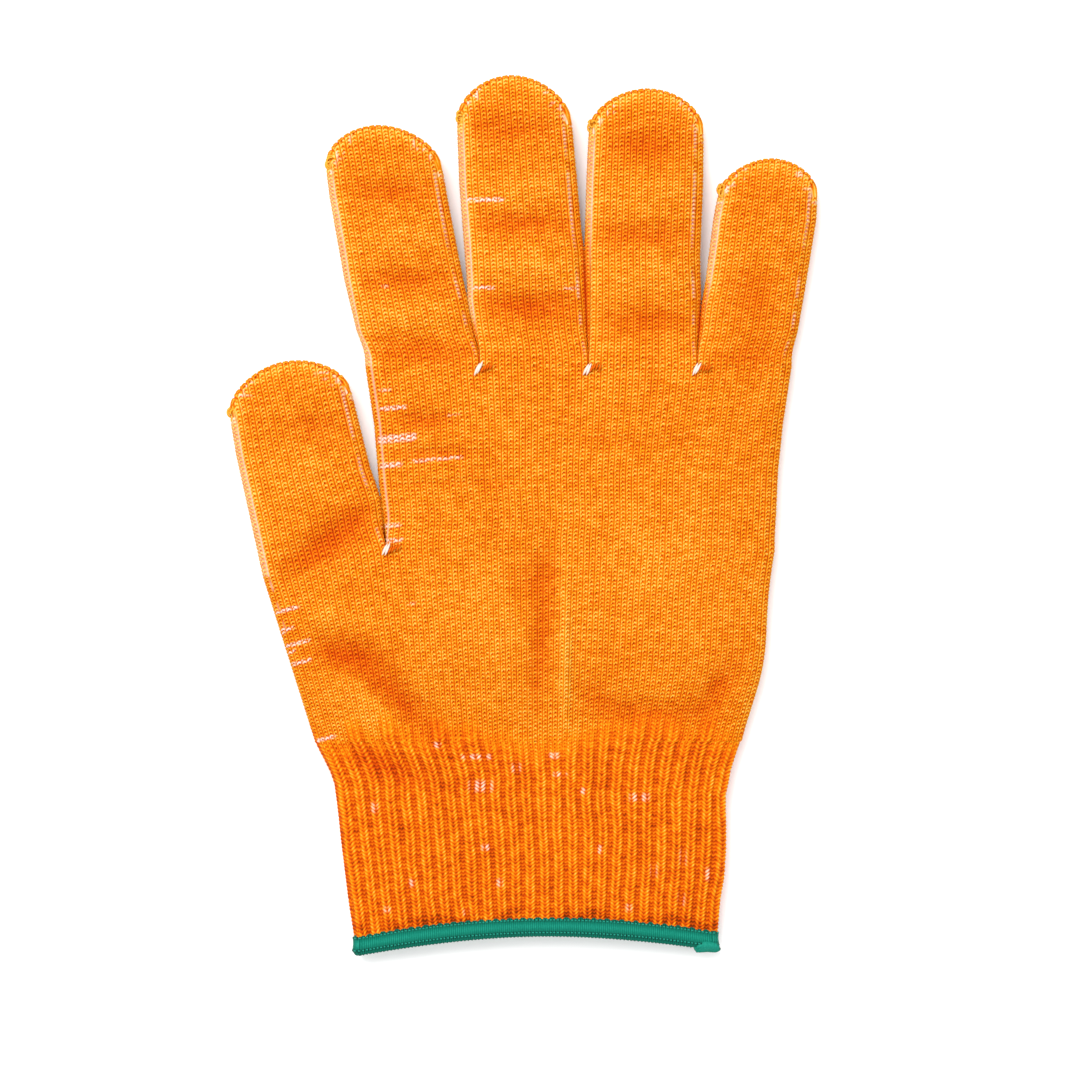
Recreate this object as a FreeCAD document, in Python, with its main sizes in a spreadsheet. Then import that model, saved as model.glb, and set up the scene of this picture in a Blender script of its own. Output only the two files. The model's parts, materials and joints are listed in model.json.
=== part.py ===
import FreeCAD, Part
import math
import os
import Sketcher

# Seamless knitted cut resistant glove, left hand, lying flat with the palm side up.
# Millimetres. +Y runs to the fingertips, +X to the little finger, +Z up out of the palm.
# The origin is on the resting face, halfway along the glove and on the middle of the cuff.
# Every knitted section is two layers: the face yarn outside and the plating yarn inside.

doc = FreeCAD.newDocument("cut_resistant_glove")
sheet = doc.addObject("Spreadsheet::Sheet", "sizes")

SIZES = {
    "glove_depth": (9.0, "height of the flattened glove"),
    "face_wall": (0.8, "thickness of the outer face yarn layer"),
    "lining_wall": (0.5, "thickness of the inner plating yarn layer"),
    "joint_gap": (0.3, "clear gap between two sections that move"),
    "side_round": (4.2, "rounding of the folded side edges"),
    "tip_round_share": (0.42, "corner radius of a fingertip as a share of its width"),
    "knuckle_line": (36.0, "Y of the fold between palm and fingers"),
    "shoulder_line": (80.0, "Y where the finger widths are measured a second time"),
    "index_left": (-41.0, "left edge of the index finger on the knuckle line"),
    "index_right": (-14.2, "right edge of the index finger on the knuckle line"),
    "index_top_left": (-50.2, "left edge of the index finger on the shoulder line"),
    "index_top_right": (-22.1, "right edge of the index finger on the shoulder line"),
    "index_bend": (58.0, "Y of the middle joint of the index finger"),
    "index_end_bend": (76.5, "Y of the end joint of the index finger"),
    "index_reach": (93.8, "Y of the index fingertip"),
    "middle_left": (-13.6, "left edge of the middle finger on the knuckle line"),
    "middle_right": (11.9, "right edge of the middle finger on the knuckle line"),
    "middle_top_left": (-18.5, "left edge of the middle finger on the shoulder line"),
    "middle_top_right": (9.6, "right edge of the middle finger on the shoulder line"),
    "middle_bend": (61.0, "Y of the middle joint of the middle finger"),
    "middle_end_bend": (83.0, "Y of the end joint of the middle finger"),
    "middle_reach": (105.3, "Y of the middle fingertip"),
    "ring_left": (12.5, "left edge of the ring finger on the knuckle line"),
    "ring_right": (38.1, "right edge of the ring finger on the knuckle line"),
    "ring_top_left": (12.0, "left edge of the ring finger on the shoulder line"),
    "ring_top_right": (39.8, "right edge of the ring finger on the shoulder line"),
    "ring_bend": (60.0, "Y of the middle joint of the ring finger"),
    "ring_end_bend": (81.0, "Y of the end joint of the ring finger"),
    "ring_reach": (102.2, "Y of the ring fingertip"),
    "little_left": (38.7, "left edge of the little finger on the knuckle line"),
    "little_right": (61.0, "right edge of the little finger on the knuckle line"),
    "little_top_left": (43.2, "left edge of the little finger on the shoulder line"),
    "little_top_right": (67.4, "right edge of the little finger on the shoulder line"),
    "little_bend": (54.0, "Y of the middle joint of the little finger"),
    "little_end_bend": (69.5, "Y of the end joint of the little finger"),
    "little_reach": (85.4, "Y of the little fingertip"),
    "crotch_x": (-36.0, "X of the crotch between thumb and palm"),
    "crotch_y": (-8.2, "Y of the crotch, where the thumb joins the palm"),
    "thumb_turn": (12.2, "angle of the line across the thumb base from X"),
    "thumb_width": (30.0, "width of the flattened thumb"),
    "thumb_clear": (0.45, "distance of the thumb's right edge from the crotch"),
    "thumb_bend": (26.0, "length of the thumb's first section"),
    "thumb_length": (49.4, "length of the thumb from base line to tip"),
    "mound_turn": (63.2, "angle of the fold along the thumb mound from X"),
    "palm_top_left": (-41.2, "left edge of the palm on the knuckle line"),
    "palm_top_right": (61.0, "right edge of the palm on the knuckle line"),
    "palm_right": (57.0, "right edge of the palm at the crotch"),
    "heel_left": (-67.8, "left edge of the heel carried up to the crotch line"),
    "heel_side_x": (54.4, "X of the bulge on the right side of the heel"),
    "heel_side_y": (-35.0, "Y of the bulge on the right side of the heel"),
    "wrist_line": (-54.2, "Y of the fold between heel and cuff"),
    "wrist_left": (-53.3, "left edge of the glove on the wrist line"),
    "wrist_right": (48.7, "right edge of the glove on the wrist line"),
    "neck_line": (-65.0, "Y where the cuff has drawn in to its ribbed width"),
    "neck_left": (-48.4, "left edge of the cuff on the neck line"),
    "neck_right": (45.8, "right edge of the cuff on the neck line"),
    "mouth_line": (-100.2, "Y of the hem's upper edge at its two ends"),
    "mouth_left": (-43.9, "left edge of the cuff at the mouth"),
    "mouth_right": (43.4, "right edge of the cuff at the mouth"),
    "mouth_bow": (3.8, "how far the hem bows towards the wrist in the middle"),
    "hem_width": (4.7, "width of the overlocked hem"),
    "hem_swell": (0.5, "how far the hem stands out beyond the cuff's sides"),
    "elastic_depth": (0.3, "thickness of the elastic yarn layer in the cuff"),
    "elastic_width": (0.6, "width of one elastic yarn row"),
    "elastic_pitch": (2.4, "distance between elastic yarn rows"),
    "elastic_rows": (12, "number of elastic yarn rows"),
    "stitch_length": (2.2, "length of one needle stitch in the hem"),
    "stitch_width": (0.5, "width of one needle stitch in the hem"),
    "stitch_height": (0.3, "height of one needle stitch over the hem"),
    "stitch_pitch": (3.1, "distance between needle stitches"),
    "stitch_count": (26, "number of needle stitches on the palm side"),
    "stitch_inset": (1.2, "distance of the needle line from the hem's upper edge"),
    "tack_length": (3.4, "length of one arm of a crotch tack"),
    "tack_width": (0.7, "width of one arm of a crotch tack"),
    "tack_height": (0.4, "height of a crotch tack over the palm"),
    "tack_drop": (2.0, "distance of a crotch tack below the knuckle line"),
    "tail_radius": (0.6, "radius of a yarn tail"),
    "tail_length": (4.0, "length of the tail left by a fingertip's last row"),
    "hem_tail_radius": (0.6, "radius of the chain of hem thread left at the mouth"),
    "hem_tail_turn": (1.6, "bending radius of that chain"),
    "hem_tail_angle": (120.0, "angle through which that chain bends"),
    "trim_reach": (140.0, "length of the trimming blocks"),
}

for row, (alias, (value, meaning)) in enumerate(SIZES.items(), start=1):
    sheet.set("A%d" % row, meaning)
    sheet.set("B%d" % row, str(value))
    sheet.setAlias("B%d" % row, alias)
doc.recompute()

FINGERS = ("index", "middle", "ring", "little")
LAYERS = ("0", "sizes.face_wall", "(sizes.face_wall + sizes.lining_wall)")
CUFF_LAYERS = (
    "0",
    "sizes.face_wall",
    "(sizes.face_wall + sizes.elastic_depth)",
    "(sizes.face_wall + sizes.elastic_depth + sizes.lining_wall)",
)
HALF_GAP = "sizes.joint_gap / 2"
nodes = []


def number(expression):
    """Value of a sheet expression, for laying out a sketch before it is solved."""
    value = sheet.evalExpression(expression)
    return float(getattr(value, "Value", value))


def finish(node, label):
    """Give a finished sub-part its name and keep it for export."""
    node.Label = label
    nodes.append(node)
    return node


def place(node, x_text, y_text, turn_text="0"):
    """Put a sub-part in the glove's frame: its own origin and its turn about Z."""
    node.Placement = FreeCAD.Placement(
        FreeCAD.Vector(number(x_text), number(y_text), 0),
        FreeCAD.Rotation(FreeCAD.Vector(0, 0, 1), number(turn_text)),
    )
    node.setExpression("Placement.Base.x", x_text)
    node.setExpression("Placement.Base.y", y_text)
    return node


def origin_plane(body, role):
    """One of the body's own origin planes."""
    return [f for f in body.Origin.OriginFeatures if f.Role == role][0]


def pin_corner(sketch, line, x_text, y_text):
    """Hold the start of one outline line at a point given by two sheet expressions."""
    for kind, text in (("DistanceX", x_text), ("DistanceY", y_text)):
        value = number(text)
        mark = sketch.addConstraint(Sketcher.Constraint(kind, -1, 1, line, 1, value))
        sketch.setExpression("Constraints[%d]" % mark, text)


def outline(body, name, corners, rise):
    """Closed straight-sided outline in the body's XY plane, raised by an amount."""
    sketch = body.newObject("Sketcher::SketchObject", name + "_outline")
    sketch.AttachmentSupport = [(origin_plane(body, "XY_Plane"), "")]
    sketch.MapMode = "FlatFace"
    sketch.setExpression("AttachmentOffset.Base.z", rise)
    points = [FreeCAD.Vector(number(x), number(y), 0) for x, y in corners]
    count = len(points)
    for i in range(count):
        sketch.addGeometry(Part.LineSegment(points[i], points[(i + 1) % count]))
    for i in range(count):
        sketch.addConstraint(Sketcher.Constraint("Coincident", i, 2, (i + 1) % count, 1))
    for i, (x, y) in enumerate(corners):
        pin_corner(sketch, i, x, y)
    return sketch


def slab(name, corners, inset):
    """Straight-sided pad that leaves the same inset at top and bottom of the glove."""
    body = doc.addObject("PartDesign::Body", name)
    sketch = outline(body, name, corners, inset)
    pad = body.newObject("PartDesign::Pad", name + "_pad")
    pad.Profile = sketch
    pad.setExpression("Length", "sizes.glove_depth - 2 * %s" % inset)
    doc.recompute()
    return body, pad


def rim_edges(shape, start, end):
    """Names of the level edges that lie along a straight side of an outline."""
    side = Part.LineSegment(start, end).toShape()
    names = []
    for i, edge in enumerate(shape.Edges, start=1):
        box = edge.BoundBox
        if box.ZLength > 0.01:
            continue
        middle = edge.valueAt((edge.FirstParameter + edge.LastParameter) / 2)
        flat = Part.Vertex(middle.x, middle.y, 0)
        if flat.distToShape(side)[0] < 0.01:
            names.append("Edge%d" % i)
    return names


def round_rims(body, pad, corners, sides, inset):
    """Round the rims of the folded sides, top and bottom."""
    points = [FreeCAD.Vector(number(x), number(y), 0) for x, y in corners]
    names = []
    for side in sides:
        names += rim_edges(pad.Shape, points[side], points[(side + 1) % len(points)])
    fillet = body.newObject("PartDesign::Fillet", body.Name + "_sides")
    fillet.Base = (pad, names)
    fillet.setExpression("Radius", "sizes.side_round - %s" % inset)
    doc.recompute()


def round_tip(body, pad, width, inset):
    """Round the closed end of a fingertip: its two corners, then the whole rim."""
    top = pad.Shape.BoundBox.YMax
    upright = []
    for i, edge in enumerate(pad.Shape.Edges, start=1):
        box = edge.BoundBox
        if box.ZLength > 0.01 and abs(box.YMax - top) < 0.01:
            upright.append("Edge%d" % i)
    corner = body.newObject("PartDesign::Fillet", body.Name + "_corners")
    corner.Base = (pad, upright)
    corner.setExpression("Radius", "sizes.tip_round_share * %s - %s" % (width, inset))
    doc.recompute()
    bottom = corner.Shape.BoundBox.YMin
    rim = []
    for i, edge in enumerate(corner.Shape.Edges, start=1):
        box = edge.BoundBox
        if box.ZLength < 0.01 and box.YMax > bottom + 0.01:
            rim.append("Edge%d" % i)
    fillet = body.newObject("PartDesign::Fillet", body.Name + "_rim")
    fillet.Base = (corner, rim)
    fillet.setExpression("Radius", "sizes.side_round - %s" % inset)
    doc.recompute()


def drawn_in(corners, inset):
    """Outline corners moved in by an inset; each corner says which way it moves."""
    return [
        ("%s + %d * %s" % (x, dx, inset), "%s + %d * %s" % (y, dy, inset))
        for x, y, dx, dy in corners
    ]


def open_solids(name, corners, sides, layers=LAYERS):
    """Nested solids of a section that is open at both ends, one per layer face."""
    solids = []
    for i, inset in enumerate(layers):
        moved = drawn_in(corners, inset)
        body, pad = slab("%s_solid_%d" % (name, i), moved, inset)
        round_rims(body, pad, moved, sides, inset)
        solids.append(body)
    return solids


def closed_solids(name, corners, width):
    """Nested solids of a section with a rounded closed end."""
    solids = []
    for i, inset in enumerate(LAYERS):
        body, pad = slab("%s_solid_%d" % (name, i), drawn_in(corners, inset), inset)
        round_tip(body, pad, width, inset)
        solids.append(body)
    return solids


def boolean(kind, name, base, tool):
    """Part boolean of two shapes."""
    result = doc.addObject("Part::" + kind, name)
    result.Base = base
    result.Tool = tool
    doc.recompute()
    return result


def layer_pair(name, solids):
    """The face yarn layer and the plating yarn layer of one section."""
    face = boolean("Cut", name + "_face", solids[0], solids[1])
    lining = boolean("Cut", name + "_lining", solids[1], solids[2])
    return face, lining


def finger_edge(finger, side, line):
    """X of a finger's side edge where it crosses a line across the hand."""
    base = "sizes.%s_%s" % (finger, side)
    top = "sizes.%s_top_%s" % (finger, side)
    run = "(sizes.shoulder_line - sizes.knuckle_line)"
    return "(%s + (%s - sizes.knuckle_line) * (%s - %s) / %s)" % (base, line, top, base, run)


def finger_section(finger, part, start, end, closed):
    """One section of a finger between two joint lines, in its own hinge frame."""
    name = "%s_%s" % (finger, part)
    left_start = finger_edge(finger, "left", start)
    right_start = finger_edge(finger, "right", start)
    left_end = finger_edge(finger, "left", end)
    right_end = finger_edge(finger, "right", end)
    centre = "(%s + %s) / 2" % (left_start, right_start)
    low = HALF_GAP
    high = "%s - %s" % (end, start) if closed else "%s - %s - %s" % (end, start, HALF_GAP)
    end_pull = -1 if closed else 0
    corners = [
        ("%s - %s" % (left_start, centre), low, 1, 0),
        ("%s - %s" % (right_start, centre), low, -1, 0),
        ("%s - %s" % (right_end, centre), high, -1, end_pull),
        ("%s - %s" % (left_end, centre), high, 1, end_pull),
    ]
    if closed:
        width = "(%s - %s)" % (right_end, left_end)
        solids = closed_solids(name, corners, width)
    else:
        solids = open_solids(name, corners, (1, 3))
    for node in layer_pair(name, solids):
        place(node, centre, start)
        finish(node, node.Name)
    return solids, centre


def tip_tail(name, outer, frame):
    """Short yarn tail left by the last row, lying on the left shoulder of a tip."""
    shoulder = FreeCAD.Vector(-1, 1, 0).normalize()
    along = FreeCAD.Vector(1, 1, 0).normalize()
    skin = outer.Shape.tessellate(0.05)[0]
    touch = max(skin, key=lambda point: point.dot(shoulder))
    length = number("sizes.tail_length")
    start = touch + shoulder * (number("sizes.tail_radius") / 2) - along * (length / 2)
    start.z = number("sizes.glove_depth") / 2
    rod = doc.addObject("Part::Cylinder", name + "_rod")
    rod.setExpression("Radius", "sizes.tail_radius")
    rod.setExpression("Height", "sizes.tail_length")
    rod.Placement = FreeCAD.Placement(start, FreeCAD.Rotation(FreeCAD.Vector(-1, 1, 0), 90))
    tail = boolean("Cut", name, rod, outer)
    place(tail, *frame)
    finish(tail, tail.Name)


def build_finger(finger):
    """Base, middle and tip sections of a finger and the tail on its tip."""
    bend = "sizes.%s_bend" % finger
    end_bend = "sizes.%s_end_bend" % finger
    reach = "sizes.%s_reach" % finger
    finger_section(finger, "base", "sizes.knuckle_line", bend, False)
    finger_section(finger, "middle", bend, end_bend, False)
    solids, centre = finger_section(finger, "tip", end_bend, reach, True)
    tip_tail(finger + "_tip_yarn_tail", solids[0], (centre, end_bend))


def thumb_section(part, start, end, closed):
    """One section of the thumb; its frame sits on the crotch, Y along the thumb."""
    name = "thumb_" + part
    left = "0 - sizes.thumb_width - sizes.thumb_clear"
    right = "0 - sizes.thumb_clear"
    low = "%s + %s" % (start, HALF_GAP)
    high = end if closed else "%s - %s" % (end, HALF_GAP)
    end_pull = -1 if closed else 0
    corners = [
        (left, low, 1, 0),
        (right, low, -1, 0),
        (right, high, -1, end_pull),
        (left, high, 1, end_pull),
    ]
    if closed:
        solids = closed_solids(name, corners, "sizes.thumb_width")
    else:
        solids = open_solids(name, corners, (1, 3))
    for node in layer_pair(name, solids):
        place(node, "sizes.crotch_x", "sizes.crotch_y", "sizes.thumb_turn")
        finish(node, node.Name)
    return solids


def build_thumb():
    """The thumb's two sections and the tail on its tip."""
    thumb_section("base", "0", "sizes.thumb_bend", False)
    solids = thumb_section("tip", "sizes.thumb_bend", "sizes.thumb_length", True)
    frame = ("sizes.crotch_x", "sizes.crotch_y", "sizes.thumb_turn")
    tip_tail("thumb_tip_yarn_tail", solids[0], frame)


def build_palm_upper():
    """The four-finger part of the palm, from the knuckle line to the thumb crotch."""
    high = "sizes.knuckle_line - %s" % HALF_GAP
    corners = [
        ("sizes.crotch_x", "sizes.crotch_y", 1, 0),
        ("sizes.palm_right", "sizes.crotch_y", -1, 0),
        ("sizes.palm_top_right", high, -1, 0),
        ("sizes.palm_top_left", high, 1, 0),
    ]
    for node in layer_pair("palm_upper", open_solids("palm_upper", corners, (1, 3))):
        finish(node, node.Name)


def trimming_block(name, turn, near, far):
    """Block along a line through the crotch, from one side distance to another."""
    block = doc.addObject("Part::Box", name)
    block.setExpression("Length", "2 * sizes.trim_reach")
    block.setExpression("Width", "%s - (%s)" % (far, near))
    block.setExpression("Height", "sizes.glove_depth + 2")
    back = "sizes.trim_reach"
    x_text = "sizes.crotch_x - %s * cos(%s * 1deg) - (%s) * sin(%s * 1deg)"
    y_text = "sizes.crotch_y - %s * sin(%s * 1deg) + (%s) * cos(%s * 1deg)"
    place(block, x_text % (back, turn, near, turn), y_text % (back, turn, near, turn), turn)
    block.Placement.Base.z = -1
    doc.recompute()
    return block


def build_heel():
    """The five-finger part below the crotch, parted into palm heel and thumb mound."""
    low = "sizes.wrist_line + %s" % HALF_GAP
    corners = [
        ("sizes.wrist_left", low, 1, 0),
        ("sizes.wrist_right", low, -1, 0),
        ("sizes.heel_side_x", "sizes.heel_side_y", -1, 0),
        ("sizes.palm_right", "sizes.crotch_y", -1, 0),
        ("sizes.heel_left", "sizes.crotch_y", 1, 0),
    ]
    whole = layer_pair("heel_whole", open_solids("heel_whole", corners, (1, 2, 4)))
    fold = "sizes.mound_turn"
    left_block = trimming_block("left_of_mound_fold", fold, "0 - " + HALF_GAP, "sizes.trim_reach")
    right_block = trimming_block("right_of_mound_fold", fold, "0 - sizes.trim_reach", HALF_GAP)
    top_block = trimming_block(
        "above_thumb_line", "sizes.thumb_turn", "0 - " + HALF_GAP, "sizes.trim_reach"
    )
    for shell, layer in zip(whole, ("face", "lining")):
        heel = boolean("Cut", "palm_heel_" + layer, shell, left_block)
        finish(heel, heel.Name)
        rough = boolean("Cut", "mound_rough_" + layer, shell, right_block)
        mound = boolean("Cut", "thumb_mound_" + layer, rough, top_block)
        finish(mound, mound.Name)


def bowed_block(name, upper, lower):
    """Block across the cuff mouth whose upper and lower ends bow towards the wrist."""
    body = doc.addObject("PartDesign::Body", name)
    sketch = body.newObject("Sketcher::SketchObject", name + "_outline")
    sketch.AttachmentSupport = [(origin_plane(body, "XY_Plane"), "")]
    sketch.MapMode = "FlatFace"
    sketch.AttachmentOffset = FreeCAD.Placement(FreeCAD.Vector(0, 0, -1), FreeCAD.Rotation())
    left = number("sizes.wrist_left")
    right = number("sizes.wrist_right")
    span = "(sizes.wrist_right - sizes.wrist_left)"
    radius = "(%s ^ 2 / 4 + sizes.mouth_bow ^ 2) / (2 * sizes.mouth_bow)" % span
    middle = (left + right) / 2
    drop = number(radius) - number("sizes.mouth_bow")
    spread = math.atan2(drop, (right - left) / 2)
    for end in (upper, lower):
        centre = FreeCAD.Vector(middle, number(end) - drop, 0)
        circle = Part.Circle(centre, FreeCAD.Vector(0, 0, 1), number(radius))
        arc = sketch.addGeometry(Part.ArcOfCircle(circle, spread, math.pi - spread))
        mark = sketch.addConstraint(Sketcher.Constraint("Radius", arc, number(radius)))
        sketch.setExpression("Constraints[%d]" % mark, radius)
    for side in ("sizes.wrist_left", "sizes.wrist_right"):
        foot = FreeCAD.Vector(number(side), number(lower), 0)
        head = FreeCAD.Vector(number(side), number(upper), 0)
        line = sketch.addGeometry(Part.LineSegment(foot, head))
        for point, level in ((1, lower), (2, upper)):
            for kind, text in (("DistanceX", side), ("DistanceY", level)):
                fixed = Sketcher.Constraint(kind, -1, 1, line, point, number(text))
                mark = sketch.addConstraint(fixed)
                sketch.setExpression("Constraints[%d]" % mark, text)
        arc_end = 2 if side == "sizes.wrist_left" else 1
        sketch.addConstraint(Sketcher.Constraint("Coincident", 0, arc_end, line, 2))
        sketch.addConstraint(Sketcher.Constraint("Coincident", 1, arc_end, line, 1))
    pad = body.newObject("PartDesign::Pad", name + "_pad")
    pad.Profile = sketch
    pad.setExpression("Length", "sizes.glove_depth + 2")
    doc.recompute()
    return body


def build_cuff():
    """Ribbed cuff: face, elastic rows and lining, open at both ends."""
    high = "sizes.wrist_line - %s" % HALF_GAP
    low = "sizes.mouth_line - sizes.hem_width"
    corners = [
        ("sizes.mouth_left", low, 1, 0),
        ("sizes.mouth_right", low, -1, 0),
        ("sizes.neck_right", "sizes.neck_line", -1, 0),
        ("sizes.wrist_right", high, -1, 0),
        ("sizes.wrist_left", high, 1, 0),
        ("sizes.neck_left", "sizes.neck_line", 1, 0),
    ]
    solids = open_solids("cuff", corners, (1, 2, 4, 5), CUFF_LAYERS)
    below = "sizes.mouth_line - 3 * sizes.hem_width"
    mouth = bowed_block("below_hem_line", "sizes.mouth_line", below)
    face = boolean("Cut", "cuff_rib_face", boolean("Cut", "cuff_whole_face", *solids[0:2]), mouth)
    finish(face, face.Name)
    lining_whole = boolean("Cut", "cuff_whole_lining", *solids[2:4])
    lining = boolean("Cut", "cuff_rib_lining", lining_whole, mouth)
    finish(lining, lining.Name)
    build_elastic(boolean("Cut", "cuff_elastic_layer", *solids[1:3]))


def build_elastic(layer):
    """Elastic yarn rows laid in between the cuff's face and lining."""
    bars = []
    for i in range(int(number("sizes.elastic_rows"))):
        bar = doc.addObject("Part::Box", "elastic_bar_%d" % i)
        bar.setExpression("Length", "sizes.trim_reach")
        bar.setExpression("Width", "sizes.elastic_width")
        bar.setExpression("Height", "sizes.glove_depth")
        y_text = "sizes.neck_line - %d * sizes.elastic_pitch" % i
        place(bar, "0 - sizes.trim_reach / 2", y_text)
        bars.append(bar)
    comb = doc.addObject("Part::Compound", "elastic_comb")
    comb.Links = bars
    doc.recompute()
    rows = boolean("Common", "cuff_elastic_rows", layer, comb)
    finish(rows, rows.Name)


def build_hem():
    """Overlocked thread hem that wraps the cuff's mouth."""
    high = "sizes.mouth_line + sizes.hem_width"
    low = "sizes.mouth_line - 2 * sizes.hem_width"
    left = "sizes.mouth_left - sizes.hem_swell"
    right = "sizes.mouth_right + sizes.hem_swell"
    corners = [(left, low, 1, 0), (right, low, -1, 0), (right, high, -1, 0), (left, high, 1, 0)]
    thick = "(sizes.face_wall + sizes.elastic_depth + sizes.lining_wall + sizes.hem_swell)"
    outer, inner = open_solids("hem", corners, (1, 3), ("0", thick))
    tube = boolean("Cut", "hem_tube", outer, inner)
    band = bowed_block("hem_band", "sizes.mouth_line", "sizes.mouth_line - sizes.hem_width")
    hem = boolean("Common", "hem_overlock_thread", tube, band)
    finish(hem, hem.Name)


def bow_rise(x_text):
    """How far the bowed hem line lies above its two ends at a given X."""
    half = "((sizes.wrist_right - sizes.wrist_left) / 2)"
    middle = "((sizes.wrist_right + sizes.wrist_left) / 2)"
    return "sizes.mouth_bow * (1 - ((%s - %s) / %s) ^ 2)" % (x_text, middle, half)


def build_needle_line():
    """Needle stitches that show as a dotted line along the hem's palm side."""
    stitches = []
    for i in range(int(number("sizes.stitch_count"))):
        offset = "(%d + 0.5 - sizes.stitch_count / 2) * sizes.stitch_pitch" % i
        x_text = "%s - sizes.stitch_length / 2" % offset
        y_text = "sizes.mouth_line - sizes.stitch_inset + " + bow_rise("(%s)" % offset)
        stitch = doc.addObject("Part::Box", "needle_stitch_%d" % i)
        stitch.setExpression("Length", "sizes.stitch_length")
        stitch.setExpression("Width", "sizes.stitch_width")
        stitch.setExpression("Height", "sizes.stitch_height")
        place(stitch, x_text, y_text)
        stitch.setExpression("Placement.Base.z", "sizes.glove_depth")
        stitches.append(stitch)
    line = doc.addObject("Part::Compound", "hem_needle_stitches")
    line.Links = stitches
    finish(line, line.Name)


def build_hem_tail():
    """Chained end of the hem thread, curling at the right end of the mouth."""
    tail = doc.addObject("Part::Torus", "hem_thread_tail")
    tail.setExpression("Radius1", "sizes.hem_tail_turn")
    tail.setExpression("Radius2", "sizes.hem_tail_radius")
    tail.setExpression("Angle3", "sizes.hem_tail_angle")
    x_text = "sizes.mouth_right + sizes.hem_swell + sizes.hem_tail_radius - sizes.hem_tail_turn"
    place(tail, x_text, "sizes.mouth_line - sizes.hem_width - sizes.hem_tail_radius", "-90")
    tail.setExpression("Placement.Base.z", "sizes.hem_tail_radius")
    finish(tail, tail.Name)


def crotch_tack(name, x_text, y_text):
    """Crossed stitches that close the hole at a crotch."""
    arms = []
    for turn in (45, -45):
        arm = doc.addObject("Part::Box", "%s_arm_%d" % (name, len(arms)))
        arm.setExpression("Length", "sizes.tack_length")
        arm.setExpression("Width", "sizes.tack_width")
        arm.setExpression("Height", "sizes.tack_height")
        back = "(sizes.tack_length / 2)"
        side = "(sizes.tack_width / 2)"
        x_arm = "%s - %s * cos(%d deg) + %s * sin(%d deg)" % (x_text, back, turn, side, turn)
        y_arm = "%s - %s * sin(%d deg) - %s * cos(%d deg)" % (y_text, back, turn, side, turn)
        place(arm, x_arm, y_arm, str(turn))
        arm.setExpression("Placement.Base.z", "sizes.glove_depth")
        arms.append(arm)
    return boolean("Fuse", name, *arms)


def build_tacks():
    """The crossed tacks at the three finger crotches and the thumb crotch."""
    y_text = "sizes.knuckle_line - sizes.tack_drop"
    tacks = []
    for left, right in zip(FINGERS, FINGERS[1:]):
        x_text = "(sizes.%s_right + sizes.%s_left) / 2" % (left, right)
        tacks.append(crotch_tack("tack_%s_%s" % (left, right), x_text, y_text))
    inward = "sizes.crotch_x + sizes.side_round + sizes.tack_length / 2"
    tacks.append(crotch_tack("tack_thumb", inward, "sizes.crotch_y + sizes.tack_drop"))
    group = doc.addObject("Part::Compound", "crotch_tacks")
    group.Links = tacks
    finish(group, group.Name)


def check_and_write():
    """Refuse to write anything that did not compute, then write one file per node."""
    doc.recompute()
    for item in doc.Objects:
        if "Invalid" in item.State or "Error" in item.State:
            raise RuntimeError("%s did not compute: %s" % (item.Name, item.State))
    os.makedirs("parts", exist_ok=True)
    for node in nodes:
        if node.Shape.isNull() or not node.Shape.isValid() or not node.Shape.Solids:
            raise RuntimeError("%s has no valid solid" % node.Label)
        node.Shape.exportStep("parts/%s.step" % node.Label)
        box = node.Shape.BoundBox
        print("%-28s %9.1f mm3 %d solids  x %.1f..%.1f y %.1f..%.1f z %.1f..%.1f" % (
            node.Label, node.Shape.Volume, len(node.Shape.Solids),
            box.XMin, box.XMax, box.YMin, box.YMax, box.ZMin, box.ZMax))


for finger in FINGERS:
    build_finger(finger)
build_thumb()
build_palm_upper()
build_heel()
build_cuff()
build_hem()
build_needle_line()
build_hem_tail()
build_tacks()
check_and_write()
print("nodes:", len(nodes))
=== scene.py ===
"""Seamless knitted cut resistant glove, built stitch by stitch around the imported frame.

Lengths are in mm until a mesh is made: +X to the little finger, +Y to the fingertips, +Z up. A
column of stitches is a wale and a row is a course. A ring coordinate counts wales round a tube.
"""
import json
import logging
import math
from collections.abc import Callable
from dataclasses import dataclass
from enum import Enum
from typing import NamedTuple

import bpy
import numpy as np
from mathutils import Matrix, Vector

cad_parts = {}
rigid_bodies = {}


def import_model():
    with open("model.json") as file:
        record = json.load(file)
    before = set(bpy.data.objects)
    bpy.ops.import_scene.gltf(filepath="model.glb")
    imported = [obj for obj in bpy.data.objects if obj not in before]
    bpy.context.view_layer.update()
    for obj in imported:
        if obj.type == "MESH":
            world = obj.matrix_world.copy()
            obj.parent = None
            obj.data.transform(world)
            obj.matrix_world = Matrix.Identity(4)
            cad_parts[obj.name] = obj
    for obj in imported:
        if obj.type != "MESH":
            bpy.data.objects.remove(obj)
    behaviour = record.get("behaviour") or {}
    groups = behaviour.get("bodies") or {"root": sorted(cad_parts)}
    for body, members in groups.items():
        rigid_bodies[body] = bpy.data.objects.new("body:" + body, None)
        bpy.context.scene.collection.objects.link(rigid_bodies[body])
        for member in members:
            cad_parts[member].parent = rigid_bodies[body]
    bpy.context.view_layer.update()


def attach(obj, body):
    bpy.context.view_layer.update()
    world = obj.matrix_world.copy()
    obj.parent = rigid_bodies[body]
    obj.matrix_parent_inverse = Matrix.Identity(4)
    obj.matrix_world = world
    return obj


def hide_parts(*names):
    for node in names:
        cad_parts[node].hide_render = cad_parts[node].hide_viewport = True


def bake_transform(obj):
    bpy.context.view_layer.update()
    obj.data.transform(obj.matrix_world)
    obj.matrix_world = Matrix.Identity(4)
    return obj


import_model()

MM = 0.001
LOG = logging.getLogger("glove")

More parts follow.
